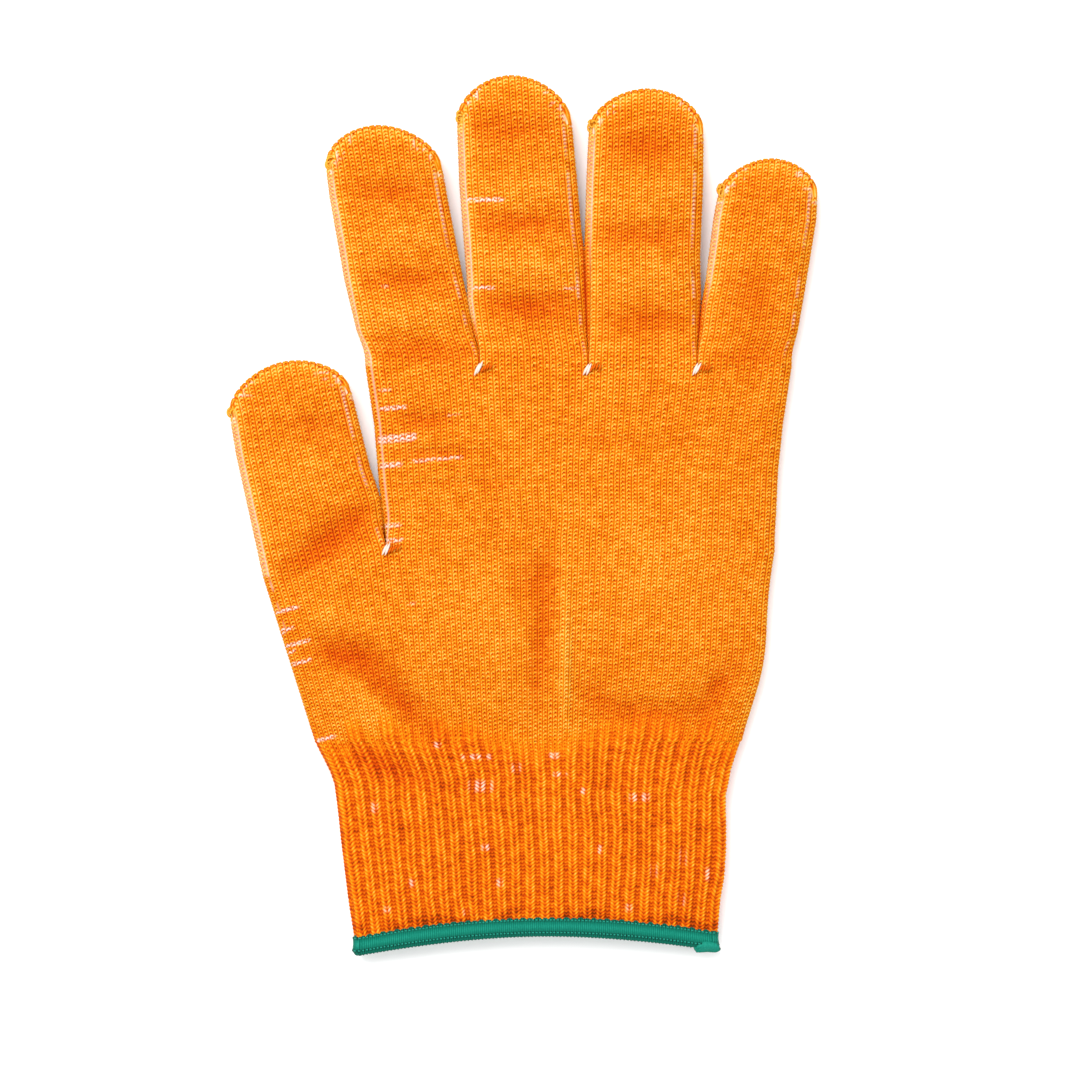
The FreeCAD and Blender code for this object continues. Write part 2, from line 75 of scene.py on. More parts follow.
# Landmarks: finger crotches, thumb crotch, slant of thumb and mound, wrist, bowed and tilted mouth.
KNUCKLE_Y = 36.0
CROTCH = (-36.0, -8.2)
THUMB_TURN = math.radians(12.2)
WRIST_Y = -54.2
MOUTH_Y = -101.2
MOUTH_BOW = 3.9
MOUTH_TILT = 1.3
HINGE_Z = 9.0

# Knit: height of a row, radius of a folded edge, wales in such an edge, ribs round the cuff and the
# height where they start, and the length over which one part of the glove passes into the next.
COURSE = 0.92
FOLD = 1.35
WALL = 3
RIBS = 52
RIB_START = -48.2
REACH = 9.0

# Roundness and folded edge of the tips, and how far the hem hangs below the cuff's last row.
TIP_POWER = 1.9
TIP_FOLD = 0.75
HEM_DROP = 1.3

# Order of a face's corners that turns it inside out.
INWARD = [0, 3, 2, 1]


class Slot(Enum):
    """Material slots of the record."""

    FACE = "face_yarn"
    PLATING = "plating_yarn"
    ELASTIC = "elastic_yarn"
    HEM = "hem_thread"


def smooth(x: np.ndarray) -> np.ndarray:
    """Smooth step from 0 to 1."""
    x = np.clip(x, 0.0, 1.0)
    return x * x * (3.0 - 2.0 * x)


def cycle(turns: np.ndarray) -> np.ndarray:
    """Wave from 0 to 1 that peaks at every whole number."""
    return 0.5 + 0.5 * np.cos(2.0 * math.pi * turns)


def bell(x: np.ndarray, place: float, width: float) -> np.ndarray:
    """Soft bump of height 1 around a place."""
    return np.exp(-(((x - place) / width) ** 2))


def lattice_noise(x: np.ndarray, y: np.ndarray, cell: float, seed: int) -> np.ndarray:
    """Smooth random field between -1 and 1.

    Args:
        x: First coordinate in mm.
        y: Second coordinate in mm.
        cell: Distance between random values in mm.
        seed: Fixed seed of the random table.

    Returns:
        One value per point.
    """
    table = np.random.RandomState(seed).uniform(-1.0, 1.0, (64, 64))
    gx = np.asarray(x, dtype=float) / cell + 1000.0
    gy = np.asarray(y, dtype=float) / cell + 1000.0
    ix = np.floor(gx).astype(int)
    iy = np.floor(gy).astype(int)
    fx = smooth(gx - ix)
    fy = smooth(gy - iy)
    a = table[ix % 64, iy % 64]
    b = table[(ix + 1) % 64, iy % 64]
    c = table[ix % 64, (iy + 1) % 64]
    d = table[(ix + 1) % 64, (iy + 1) % 64]
    return (a * (1 - fx) + b * fx) * (1 - fy) + (c * (1 - fx) + d * fx) * fy


@dataclass(frozen=True)
class SoftFold:
    """A soft wrinkle in the lying fabric: a long low ridge or hollow, turned by some degrees."""

    x: float
    y: float
    length: float
    width: float
    turn: float
    height: float

    def rise(self, x: np.ndarray, y: np.ndarray) -> np.ndarray:
        """Height that the wrinkle adds at each point, in mm."""
        c = math.cos(math.radians(self.turn))
        s = math.sin(math.radians(self.turn))
        along = ((x - self.x) * c + (y - self.y) * s) / self.length
        across = (-(x - self.x) * s + (y - self.y) * c) / self.width
        return self.height * np.exp(-along**2 - across**2)


INDEX_FOLDS = (
    SoftFold(-34.0, 78.2, 9.2, 3.0, 0, -0.8), SoftFold(-34.0, 67.0, 10.0, 3.0, 0, 0.5),
    SoftFold(-31.7, 56.6, 10.3, 3.0, 3, -0.9), SoftFold(-30.0, 48.0, 10.0, 3.0, 0, 0.6),
    SoftFold(-28.5, 40.0, 11.5, 3.2, -6, -0.9),
)
MIDDLE_FOLDS = (
    SoftFold(-6.0, 93.0, 10.3, 3.0, 0, -0.8), SoftFold(-5.0, 78.5, 10.0, 3.4, 0, 0.6),
    SoftFold(-3.4, 70.3, 11.5, 3.0, 0, -1.0), SoftFold(-3.0, 60.0, 11.0, 3.0, 0, 0.7),
    SoftFold(-2.0, 50.6, 11.5, 3.5, 0, -1.3),
)
RING_FOLDS = (
    SoftFold(26.0, 89.0, 10.3, 3.8, 0, -0.8), SoftFold(27.0, 78.0, 10.0, 3.0, 0, 0.4),
    SoftFold(26.0, 67.4, 11.5, 3.1, 0, -0.9), SoftFold(27.0, 57.5, 10.0, 3.0, 0, 0.6),
    SoftFold(26.0, 47.0, 10.3, 3.2, 0, -0.8),
)
LITTLE_FOLDS = (
    SoftFold(55.0, 74.0, 8.0, 3.8, 0, -0.3), SoftFold(51.0, 53.0, 5.8, 6.2, 0, -0.5),
    SoftFold(52.0, 39.0, 8.0, 3.8, 10, -0.6),
)
THUMB_FOLDS = (
    SoftFold(-53.0, 22.0, 6.9, 3.2, 0, -0.5), SoftFold(-57.0, 9.0, 7.0, 4.0, 30, 0.5),
    SoftFold(-49.7, -5.8, 12.6, 4.0, 35, -1.5), SoftFold(-52.0, -24.0, 7.0, 3.0, 12, 0.6),
    SoftFold(-47.0, -33.2, 9.2, 3.8, -10, -1.4), SoftFold(-33.5, -43.6, 11.5, 3.8, -44, -1.4),
    SoftFold(-41.0, -46.8, 12.0, 4.2, -36, 0.8), SoftFold(-37.0, -60.0, 12.6, 3.2, -20, -0.8),
)
PALM_FOLDS = (
    SoftFold(-28.0, 23.0, 8.0, 2.2, 0, -0.9), SoftFold(-26.0, 15.2, 12.0, 1.4, 0, -0.6),
    SoftFold(-20.0, 8.0, 18.0, 1.0, 2, -0.3), SoftFold(20.0, 18.0, 30.0, 1.6, 0, -0.2),
    SoftFold(1.2, -28.0, 19.5, 2.6, 85, -0.9), SoftFold(-1.5, -15.8, 6.0, 5.0, 20, -0.7),
    SoftFold(6.7, -34.0, 16.0, 1.3, 90, 1.3), SoftFold(44.5, -40.5, 8.5, 3.6, 52, -1.0),
    SoftFold(26.0, -46.8, 14.0, 3.2, -3, -0.8), SoftFold(13.0, -42.5, 5.0, 2.6, -35, -0.6),
    SoftFold(30.0, -12.0, 20.0, 14.0, 0, 0.4), SoftFold(-18.0, -25.0, 14.0, 10.0, 0, 0.4),
)
SOFT_FOLDS = INDEX_FOLDS + MIDDLE_FOLDS + RING_FOLDS + LITTLE_FOLDS + THUMB_FOLDS + PALM_FOLDS


def wrinkles(x: np.ndarray, y: np.ndarray) -> np.ndarray:
    """Height of all soft wrinkles and slow unevenness on the palm side, in mm."""
    total = 0.12 * lattice_noise(x, y, 9.0, 5) + 0.07 * lattice_noise(x, y, 4.5, 6)
    for fold in SOFT_FOLDS:
        total = total + fold.rise(x, y)
    return total


@dataclass(frozen=True)
class Fleck:
    """A short run in one row where the white plating yarn shows through."""

    x: float
    y: float
    length: float
    rows: float = 0.9
    strength: float = 1.0
    slope: float = 0.0


THUMB_FLECKS = tuple(
    Fleck(x, y, length, 0.75, 0.95, 0.27)
    for x, y, length in ((-60.3, -22.6, 6.0), (-60.0, -27.2, 3.0), (-57.6, -30.6, 6.0), (-57.0, -35.2, 5.6),
                         (-61.5, -28.2, 1.6), (-59.0, -32.6, 1.6), (-51.3, -53.6, 5.5))
)
PALM_FLECKS = tuple(
    Fleck(x, y, length, rows, strength, 0.09)
    for x, y, length, rows, strength in (
        (-34.5, 25.9, 6.0, 0.8, 1.0), (-36.5, 30.2, 2.5, 0.6, 0.6), (-33.5, 18.6, 9.0, 1.5, 1.0),
        (-35.0, 12.2, 5.0, 1.0, 1.0), (-24.0, 13.6, 12.0, 0.7, 0.7), (-35.0, -2.3, 4.5, 0.8, 0.8),
        (-34.5, -5.9, 4.5, 0.8, 0.8), (-30.0, -21.0, 1.6, 0.6, 0.4), (-20.0, 24.2, 3.0, 0.5, 0.35))
)
FINGER_FLECKS = (
    Fleck(-12.5, 75.8, 9.0, 0.8), Fleck(-12.8, 54.7, 5.0, 0.7), Fleck(8.0, 54.5, 3.0, 0.6, 0.6),
    Fleck(-36.5, 55.0, 1.5, 0.8, 0.4),
)
CUFF_FLECKS = tuple(
    Fleck(x, y, length, rows, 0.7)
    for x, y, length, rows in (
        (-14.5, -57.8, 7.0, 1.0), (-13.5, -64.8, 5.5, 2.2), (-5.0, -60.5, 1.8, 1.8), (4.0, -57.5, 2.2, 1.2),
        (5.5, -62.0, 3.0, 0.9), (24.5, -67.5, 4.5, 1.6), (28.0, -85.0, 1.2, 2.6), (35.0, -82.0, 1.2, 3.2),
        (-12.0, -79.5, 2.4, 1.2), (34.6, -92.0, 1.2, 2.6), (-24.0, -55.0, 1.5, 1.2), (11.0, -66.0, 1.4, 1.2),
        (-39.0, -70.0, 1.2, 2.0), (-9.0, -88.0, 1.2, 1.6), (15.0, -80.0, 1.2, 1.6), (-30.0, -88.0, 1.0, 1.6),
        (22.0, -94.0, 1.0, 1.6), (-17.0, -95.0, 1.0, 1.4), (-36.0, -94.5, 1.2, 1.2), (41.0, -86.0, 1.0, 2.4))
)
FLECKS = THUMB_FLECKS + PALM_FLECKS + FINGER_FLECKS + CUFF_FLECKS


def flecks(x: np.ndarray, y: np.ndarray) -> np.ndarray:
    """How far the white yarn shows at each point of the palm side, from 0 to 1."""
    total = np.zeros(np.broadcast(x, y).shape)
    for spot in FLECKS:
        inside = smooth((spot.length / 2 + 0.6 - np.abs(x - spot.x)) / 1.2)
        off = np.abs(y - spot.y - spot.slope * (x - spot.x))
        total = np.maximum(total, spot.strength * inside * smooth(1.4 - off / (spot.rows * 0.6)))
    return total


class Stitches(NamedTuple):
    """Knitted relief at each point: height and tone from 0 to 1, and how much it is a loop's crown. The tone
    is painted shade in the holes up to painted highlight on the crowns.
    """

    height: np.ndarray
    tone: np.ndarray
    crown: np.ndarray

    def mixed(self, other: "Stitches", share: np.ndarray) -> "Stitches":
        """This relief fading into another one."""
        return Stitches(*(a * (1.0 - share) + b * share for a, b in zip(self, other)))


@dataclass(frozen=True)
class PlainStitch:
    """Plain knitting: columns of arched loops with a small hole under every crown."""

    arch: float = 0.58
    hole_width: float = 0.56
    leg_place: float = 0.62
    leg_width: float = 0.22
    unevenness: float = 0.17
    stagger: float = 0.4
    lean: float = -0.34

    def draw(self, wale: np.ndarray, course: np.ndarray) -> Stitches:
        """Relief of the loops.

        Args:
            wale: Column coordinate; each column is one unit wide.
            course: Row coordinate; each row is one unit high.

        Returns:
            Height, tone and crown at each point.
        """
        beside = (np.mod(wale, 1.0) - 0.5) * 2.0
        across = np.abs(beside)
        drift = self.lean * beside + self.unevenness * lattice_noise(wale, course, 1.0, 11)
        drift = drift + self.stagger * lattice_noise(np.floor(wale), course / 9.0, 1.0, 16)
        wave = cycle(course + self.arch * across + drift)
        crown = wave**1.5 * smooth((1.0 - across) / 0.4)
        leg = bell(across, self.leg_place, self.leg_width)
        # Crowns and legs: raised in the relief and given painted highlight, the left leg more, as painted
        # light from the left.
        bright = np.maximum(crown, (0.5 - 0.22 * beside) * leg)
        hole = (1.0 - wave) ** 1.4 * smooth((self.hole_width - across) / 0.4)
        shade = 0.10 * lattice_noise(wale, course, 1.0, 12)
        height = 0.55 + 0.45 * bright - 0.5 * hole - 0.35 * across**5
        # Painted shade in the holes and between the columns, painted highlight on crowns and legs, plus
        # random tone.
        tone = 0.41 + 0.57 * bright - 0.42 * hole - 0.24 * across**5 + shade
        return Stitches(height, tone, np.maximum(crown, leg * wave**2))


@dataclass(frozen=True)
class RibStitch:
    """Ribbed knitting: braids of slanting legs with sunken columns between them."""

    pitch: float = 3.45
    leg_place: float = 0.68
    leg_width: float = 0.42
    slant: float = 0.95
    sink_start: float = 1.16
    sink_width: float = 0.35

    def draw(self, rib: np.ndarray, course: np.ndarray) -> Stitches:
        """Relief of the braids.

        Args:
            rib: Rib coordinate; each rib with its sunken part is one unit wide.
            course: Row coordinate; each row is one unit high.

        Returns:
            Height, tone and crown at each point; the height goes far below 0 in the sunken parts.
        """
        wander = 0.08 * lattice_noise(rib * 0.9, course * 0.12, 1.0, 13)
        off = np.abs(np.mod(rib + wander, 1.0) - 0.5) * self.pitch
        drift = 0.14 * lattice_noise(rib * 3.2, course, 1.0, 14)
        wave = cycle(course - self.slant * off + drift)
        leg = bell(off, self.leg_place, self.leg_width)
        sunk = smooth((off - self.sink_start) / self.sink_width)
        knot = cycle(course + 0.3 + 1.1 * off + 2.0 * drift)
        shade = 0.12 * lattice_noise(rib * 3.2, course, 1.0, 15)
        shade = shade + 0.035 * lattice_noise(rib * 1.4, course * 0.1, 1.0, 16)
        height = 1.0 + 0.45 * leg * wave - 0.35 * (1.0 - leg) - 0.85 * sunk + 0.25 * sunk * knot
        # Painted highlight on the braids' legs and on the knots, painted shade below the legs and in the
        # sunken columns, plus random tone.
        braid = 0.45 + 0.42 * leg * wave - 0.32 * (1.0 - leg) * (1.0 - wave) - 0.08 * (1.0 - wave)
        tone = braid * (1.0 - sunk) + (0.13 + 0.44 * knot) * sunk + shade
        return Stitches(height, tone, leg * wave * (1.0 - sunk))


PLAIN = PlainStitch()
RIB = RibStitch()


@dataclass
class Skin:
    """A surface before it is parted into pieces; the key of a face says where it belongs."""

    points: np.ndarray
    faces: np.ndarray
    lift: np.ndarray
    depth: np.ndarray
    white: np.ndarray
    key: np.ndarray

    def normals(self) -> np.ndarray:
        """Outward normal at each point, from the faces around it."""
        p = self.points
        f = self.faces
        n = np.cross(p[f[:, 2]] - p[f[:, 0]], p[f[:, 3]] - p[f[:, 1]])
        total = np.zeros_like(p)
        for k in range(4):
            np.add.at(total, f[:, k], n)
        size = np.linalg.norm(total, axis=1, keepdims=True)
        return total / np.maximum(size, 1e-9)

    def raised(self) -> np.ndarray:
        """Points pushed out along their normals by the stitch relief."""
        return self.points + self.normals() * self.lift[:, None]


class MeshMaker:
    """Turns arrays in millimetres into Blender meshes with named attributes."""

    @staticmethod
    def split_corners(faces: np.ndarray) -> tuple[np.ndarray, np.ndarray]:
        """Sort faces into those with four corners and those with three.

        Args:
            faces: Four indices per face; a repeated index makes a triangle.

        Returns:
            The four-cornered faces and the triangles.
        """
        same = faces == np.roll(faces, -1, axis=1)
        triangles = []
        for repeated in range(4):
            mask = same[:, repeated] & (same.sum(axis=1) == 1)
            triangles.append(faces[mask][:, [c for c in range(4) if c != repeated]])
        return faces[~same.any(axis=1)], np.concatenate(triangles)

    @staticmethod
    def build(name: str, points: np.ndarray, faces: np.ndarray,
              values: dict[str, np.ndarray]) -> bpy.types.Object:
        """Make one object from points and four-cornered faces.

        Args:
            name: Name of the piece.
            points: One row per point, in mm.
            faces: Four indices per face; a repeated index makes a triangle.
            values: Named float per point.

        Returns:
            The new object, linked into the scene.
        """
        used, inverse = np.unique(faces, return_inverse=True)
        points = points[used] * MM
        quads, triangles = MeshMaker.split_corners(inverse.reshape(faces.shape))
        loops = np.concatenate([quads.ravel(), triangles.ravel()]).astype(np.int32)
        totals = np.repeat([4, 3], [len(quads), len(triangles)]).astype(np.int32)
        starts = np.concatenate([[0], np.cumsum(totals)[:-1]]).astype(np.int32)
        mesh = bpy.data.meshes.new(name)
        mesh.vertices.add(len(points))
        mesh.vertices.foreach_set("co", points.astype(np.float32).ravel())
        mesh.loops.add(len(loops))
        mesh.loops.foreach_set("vertex_index", loops)
        mesh.polygons.add(len(totals))
        mesh.polygons.foreach_set("loop_start", starts)
        mesh.polygons.foreach_set("loop_total", totals)
        mesh.polygons.foreach_set("use_smooth", np.ones(len(totals), dtype=bool))
        mesh.update(calc_edges=True)
        mesh.validate(clean_customdata=False)
        for key, data in values.items():
            layer = mesh.attributes.new(key, "FLOAT", "POINT")
            layer.data.foreach_set("value", data[used].astype(np.float32))
        obj = bpy.data.objects.new(name, mesh)
        bpy.context.scene.collection.objects.link(obj)
        LOG.info("%s: %d points, %d faces", name, len(points), len(totals))
        return obj

    @staticmethod
    def from_skin(name: str, skin: Skin, mask: np.ndarray | slice = slice(None)) -> bpy.types.Object:
        """Make one piece from the faces of a skin that a mask keeps."""
        values = {"depth": skin.depth, "white": skin.white}
        return MeshMaker.build(name, skin.raised(), skin.faces[mask], values)


# Tones of each yarn: a place from 0 to 1 followed by the colour there, from painted shade in the hollows to
# painted highlight on the crests.
ORANGE = (
    (0.0, 0.20, 0.028, 0.0), (0.26, 0.68, 0.072, 0.0), (0.48, 0.87, 0.185, 0.0),
    (0.75, 0.97, 0.38, 0.008), (1.0, 1.0, 0.68, 0.15),
)
WHITE = ((0.1, 0.40, 0.33, 0.27), (0.5, 0.76, 0.70, 0.63), (1.0, 0.93, 0.90, 0.86))
ECRU = ((0.1, 0.35, 0.32, 0.28), (0.5, 0.70, 0.68, 0.63), (1.0, 0.85, 0.83, 0.80))
GREEN = (
    (0.05, 0.0, 0.03, 0.022), (0.45, 0.0, 0.165, 0.108), (0.75, 0.0, 0.265, 0.175),
    (1.0, 0.02, 0.42, 0.30),
)


class NodeBoard:
    """Adds and joins the nodes of one material."""

    def __init__(self, name: str) -> None:
        """Start a material with its plain shader."""
        self.material = bpy.data.materials.new(name)
        self.material.use_nodes = True
        self.tree = self.material.node_tree
        self.shader = self.tree.nodes["Principled BSDF"]

    def add(self, kind: str, **settings: object) -> bpy.types.Node:
        """Add a node and set its properties."""
        node = self.tree.nodes.new("ShaderNode" + kind)
        for key, value in settings.items():
            setattr(node, key, value)
        return node

    def join(self, source: bpy.types.NodeSocket, node: bpy.types.Node, socket: str | int) -> None:
        """Lead an output into a named or numbered input."""
        self.tree.links.new(source, node.inputs[socket])

    def value(self, attribute: str) -> bpy.types.NodeSocket:
        """Output that reads a float stored on the mesh."""
        return self.add("Attribute", attribute_name=attribute).outputs["Fac"]

    def noise(self, scale: float, detail: float = 2.0, sized: bool = True) -> bpy.types.NodeSocket:
        """Output of a random pattern.

        Args:
            scale: Number of cells per metre, or across the object.
            detail: How many finer patterns are added.
            sized: Whether the cells are counted per metre.

        Returns:
            The pattern's value.
        """
        node = self.add("TexNoise")
        node.inputs["Scale"].default_value = scale
        node.inputs["Detail"].default_value = detail
        if sized:
            self.join(self.add("TexCoord").outputs["Object"], node, "Vector")
        return node.outputs["Fac"]

    def sum(self, operation: str, source: bpy.types.NodeSocket, number: float,
            addend: bpy.types.NodeSocket | None = None, clamp: bool = False) -> bpy.types.NodeSocket:
        """Work out one value from another.

        Args:
            operation: Name of the sum.
            source: Value that goes in first.
            number: Fixed second value.
            addend: Third value, where the sum has one.
            clamp: Whether the result is held between 0 and 1.

        Returns:
            The result.
        """
        node = self.add("Math", operation=operation, use_clamp=clamp)
        node.inputs[1].default_value = number
        self.join(source, node, 0)
        if addend is not None:
            self.join(addend, node, 2)
        return node.outputs["Value"]

    def ramp(self, source: bpy.types.NodeSocket, stops: list[tuple]) -> bpy.types.NodeSocket:
        """Colours picked by a value; each stop is a place and a colour."""
        node = self.add("ValToRGB")
        elements = node.color_ramp.elements
        elements.remove(elements[1])
        elements[0].position, elements[0].color = stops[0]
        for place, colour in stops[1:]:
            elements.new(place).color = colour
        self.join(source, node, "Fac")
        return node.outputs["Color"]

    def mix(self, share: bpy.types.NodeSocket, base: bpy.types.NodeSocket,
            colour: tuple[float, ...]) -> bpy.types.NodeSocket:
        """Lay a fixed colour over another one by a share."""
        node = self.add("Mix", data_type="RGBA")
        node.inputs["B"].default_value = colour
        self.join(share, node, "Factor")
        self.join(base, node, "A")
        return node.outputs["Result"]


@dataclass(frozen=True)
class YarnFinish:
    """Look of a yarn: its tones from painted shade in the hollows to painted highlight on the crests, the
    deep red painted as shade, and the white that shows through.
    """

    name: str
    tones: tuple[tuple[float, float, float, float], ...]
    white: tuple[float, float, float] = (1.0, 0.86, 0.78)
    shaded: tuple[float, float, float] = (0.76, 0.035, 0.0)
    dye: float = 0.73
    roughness: float = 0.9
    specular: float = 0.08
    grain: float = 2500.0
    grain_share: float = 0.35
    patch: float = 90.0
    patch_share: float = 0.08
    bump: float = 0.25
    bump_height: float = 0.0001

    def dyed(self, colour: tuple[float, ...]) -> tuple[float, ...]:
        """A colour weakened by the dye share, with full opacity."""
        return (*(self.dye * part for part in colour), 1.0)

    def material(self) -> bpy.types.Material:
        """Build the procedural material."""
        board = NodeBoard(self.name)
        white = board.value("white")
        grain = board.noise(self.grain, 3.0)
        # Tone read from the mesh: painted shade in the hollows up to painted highlight on the crests, plus
        # fibre grain and random patches.
        tone = board.sum("MULTIPLY_ADD", grain, self.grain_share, board.value("depth"))
        tone = board.sum("MULTIPLY_ADD", board.noise(self.patch), self.patch_share, tone)
        tone = board.sum("SUBTRACT", tone, (self.grain_share + self.patch_share) / 2)
        colour = board.ramp(tone, [(place, self.dyed(rest)) for place, *rest in self.tones])
        # Where the white value is below zero, mix in the deep red painted as shade in folds and slits, also
        # used for the small crotch stitches.
        colour = board.mix(board.sum("MULTIPLY", white, -1.0, clamp=True), colour, self.dyed(self.shaded))
        colour = board.mix(white, colour, self.dyed(self.white))
        bump = board.add("Bump")
        bump.inputs["Strength"].default_value = self.bump
        bump.inputs["Distance"].default_value = self.bump_height
        board.join(grain, bump, "Height")
        board.join(bump.outputs["Normal"], board.shader, "Normal")
        board.join(colour, board.shader, "Base Color")
        board.shader.inputs["Roughness"].default_value = self.roughness
        board.shader.inputs["Specular IOR Level"].default_value = self.specular
        return board.material


class Finishes:
    """All materials of the glove, one per slot."""

    def __init__(self) -> None:
        """Build every finish once."""
        self.by_slot = {
            Slot.FACE: YarnFinish("orange_face_yarn", ORANGE).material(),
            Slot.PLATING: YarnFinish("white_plating_yarn", WHITE).material(),
            Slot.ELASTIC: YarnFinish("covered_elastic_yarn", ECRU).material(),
            Slot.HEM: YarnFinish("green_hem_thread", GREEN, roughness=0.6, dye=0.58).material(),
        }

    def dress(self, obj: bpy.types.Object, slot: Slot) -> None:
        """Give a piece its finish and its record slot."""
        obj.data.materials.clear()
        obj.data.materials.append(self.by_slot[slot])


@dataclass(frozen=True)
class Weave:
    """How finely a knitted surface is drawn, and how far inside the outer face it lies."""

    per_wale: int = 6
    per_course: int = 4
    inset: float = 0.0
    relief: float = 0.55
    # Painted shading of the soft wrinkles: tone added per mm of rise, lighter on ridges and darker in dips;
    # and deep red painted shade per mm that the cloth sinks.
    fold_painted_shading: float = 0.13
    fold_painted_red_shade: float = 0.22

    @property
    def outside(self) -> bool:
        """Whether this is the layer that shows."""
        return self.inset == 0.0


FACE_WEAVE = Weave()
LINING_WEAVE = Weave(per_wale=2, per_course=2, inset=1.22, relief=0.1)
LAYERS = ((FACE_WEAVE, "face", Slot.FACE), (LINING_WEAVE, "lining", Slot.PLATING))


@dataclass(frozen=True)
class Ring:
    """A closed cross section of a lying tube: palm side, right wall, back side, left wall."""

    wales: int

    @property
    def total(self) -> int:
        """Number of wales all the way round."""
        return 2 * (self.wales + WALL)

    def back(self, wale: np.ndarray) -> np.ndarray:
        """Ring coordinate on the back side that lies under a wale of the palm side."""
        return 2 * self.wales + WALL - wale

    def from_left(self, s: np.ndarray) -> np.ndarray:
        """Distance in wales from the left end of the palm side, either way round."""
        return np.minimum(s, self.total - s)

    def split(self, s: np.ndarray) -> tuple[np.ndarray, np.ndarray, np.ndarray]:
        """Part a ring coordinate.

        Args:
            s: Ring coordinate in wales, from 0 at the left end of the palm side.

        Returns:
            The share across from left to right, the level from +1 on the palm side to -1 on
            the back side, and the side (-1 left wall, 1 right wall, 0 neither).
        """
        n = self.wales
        past = s > 2 * n + WALL
        right = (s > n) & (s < n + WALL)
        share = np.where(s <= n, s / n, 1.0 - (s - n - WALL) / n)
        share = np.where(right, 1.0, np.where(past, 0.0, share))
        level = np.where(s <= n, 1.0, -1.0)
        level = np.where(right, 1.0 - 2.0 * (s - n) / WALL, level)
        level = np.where(past, -1.0 + 2.0 * (s - 2 * n - WALL) / WALL, level)
        return np.clip(share, 0, 1), level, np.where(right, 1.0, np.where(past, -1.0, 0.0))


def lay(level: np.ndarray, puff: np.ndarray, centre: np.ndarray, half: np.ndarray,
        edge: np.ndarray) -> np.ndarray:
    """Height of a point of a lying tube.

    Args:
        level: +1 on the palm side, -1 on the back side, in between on a wall.
        puff: 0 at the folded edge to 1 where the tube is fullest.
        centre: Height of the tube's middle.
        half: Half the tube's height where it is fullest.
        edge: Half the tube's height at its folded edges.

    Returns:
        Height in mm.
    """
    return centre + np.sin(level * math.pi / 2) * (edge + (half - FOLD) * puff)


def fullness(share: np.ndarray) -> np.ndarray:
    """How full a wide lying tube is across its width: 0 at both folded edges, 1 in the middle."""
    return np.sqrt(np.clip(1 - np.abs(2 * share - 1) ** 3.4, 0, 1))


def bulge_out(side: np.ndarray, level: np.ndarray, fold: np.ndarray) -> np.ndarray:
    """How far a wall of a lying tube stands out to its side."""
    return side * np.cos(level * math.pi / 2) * fold


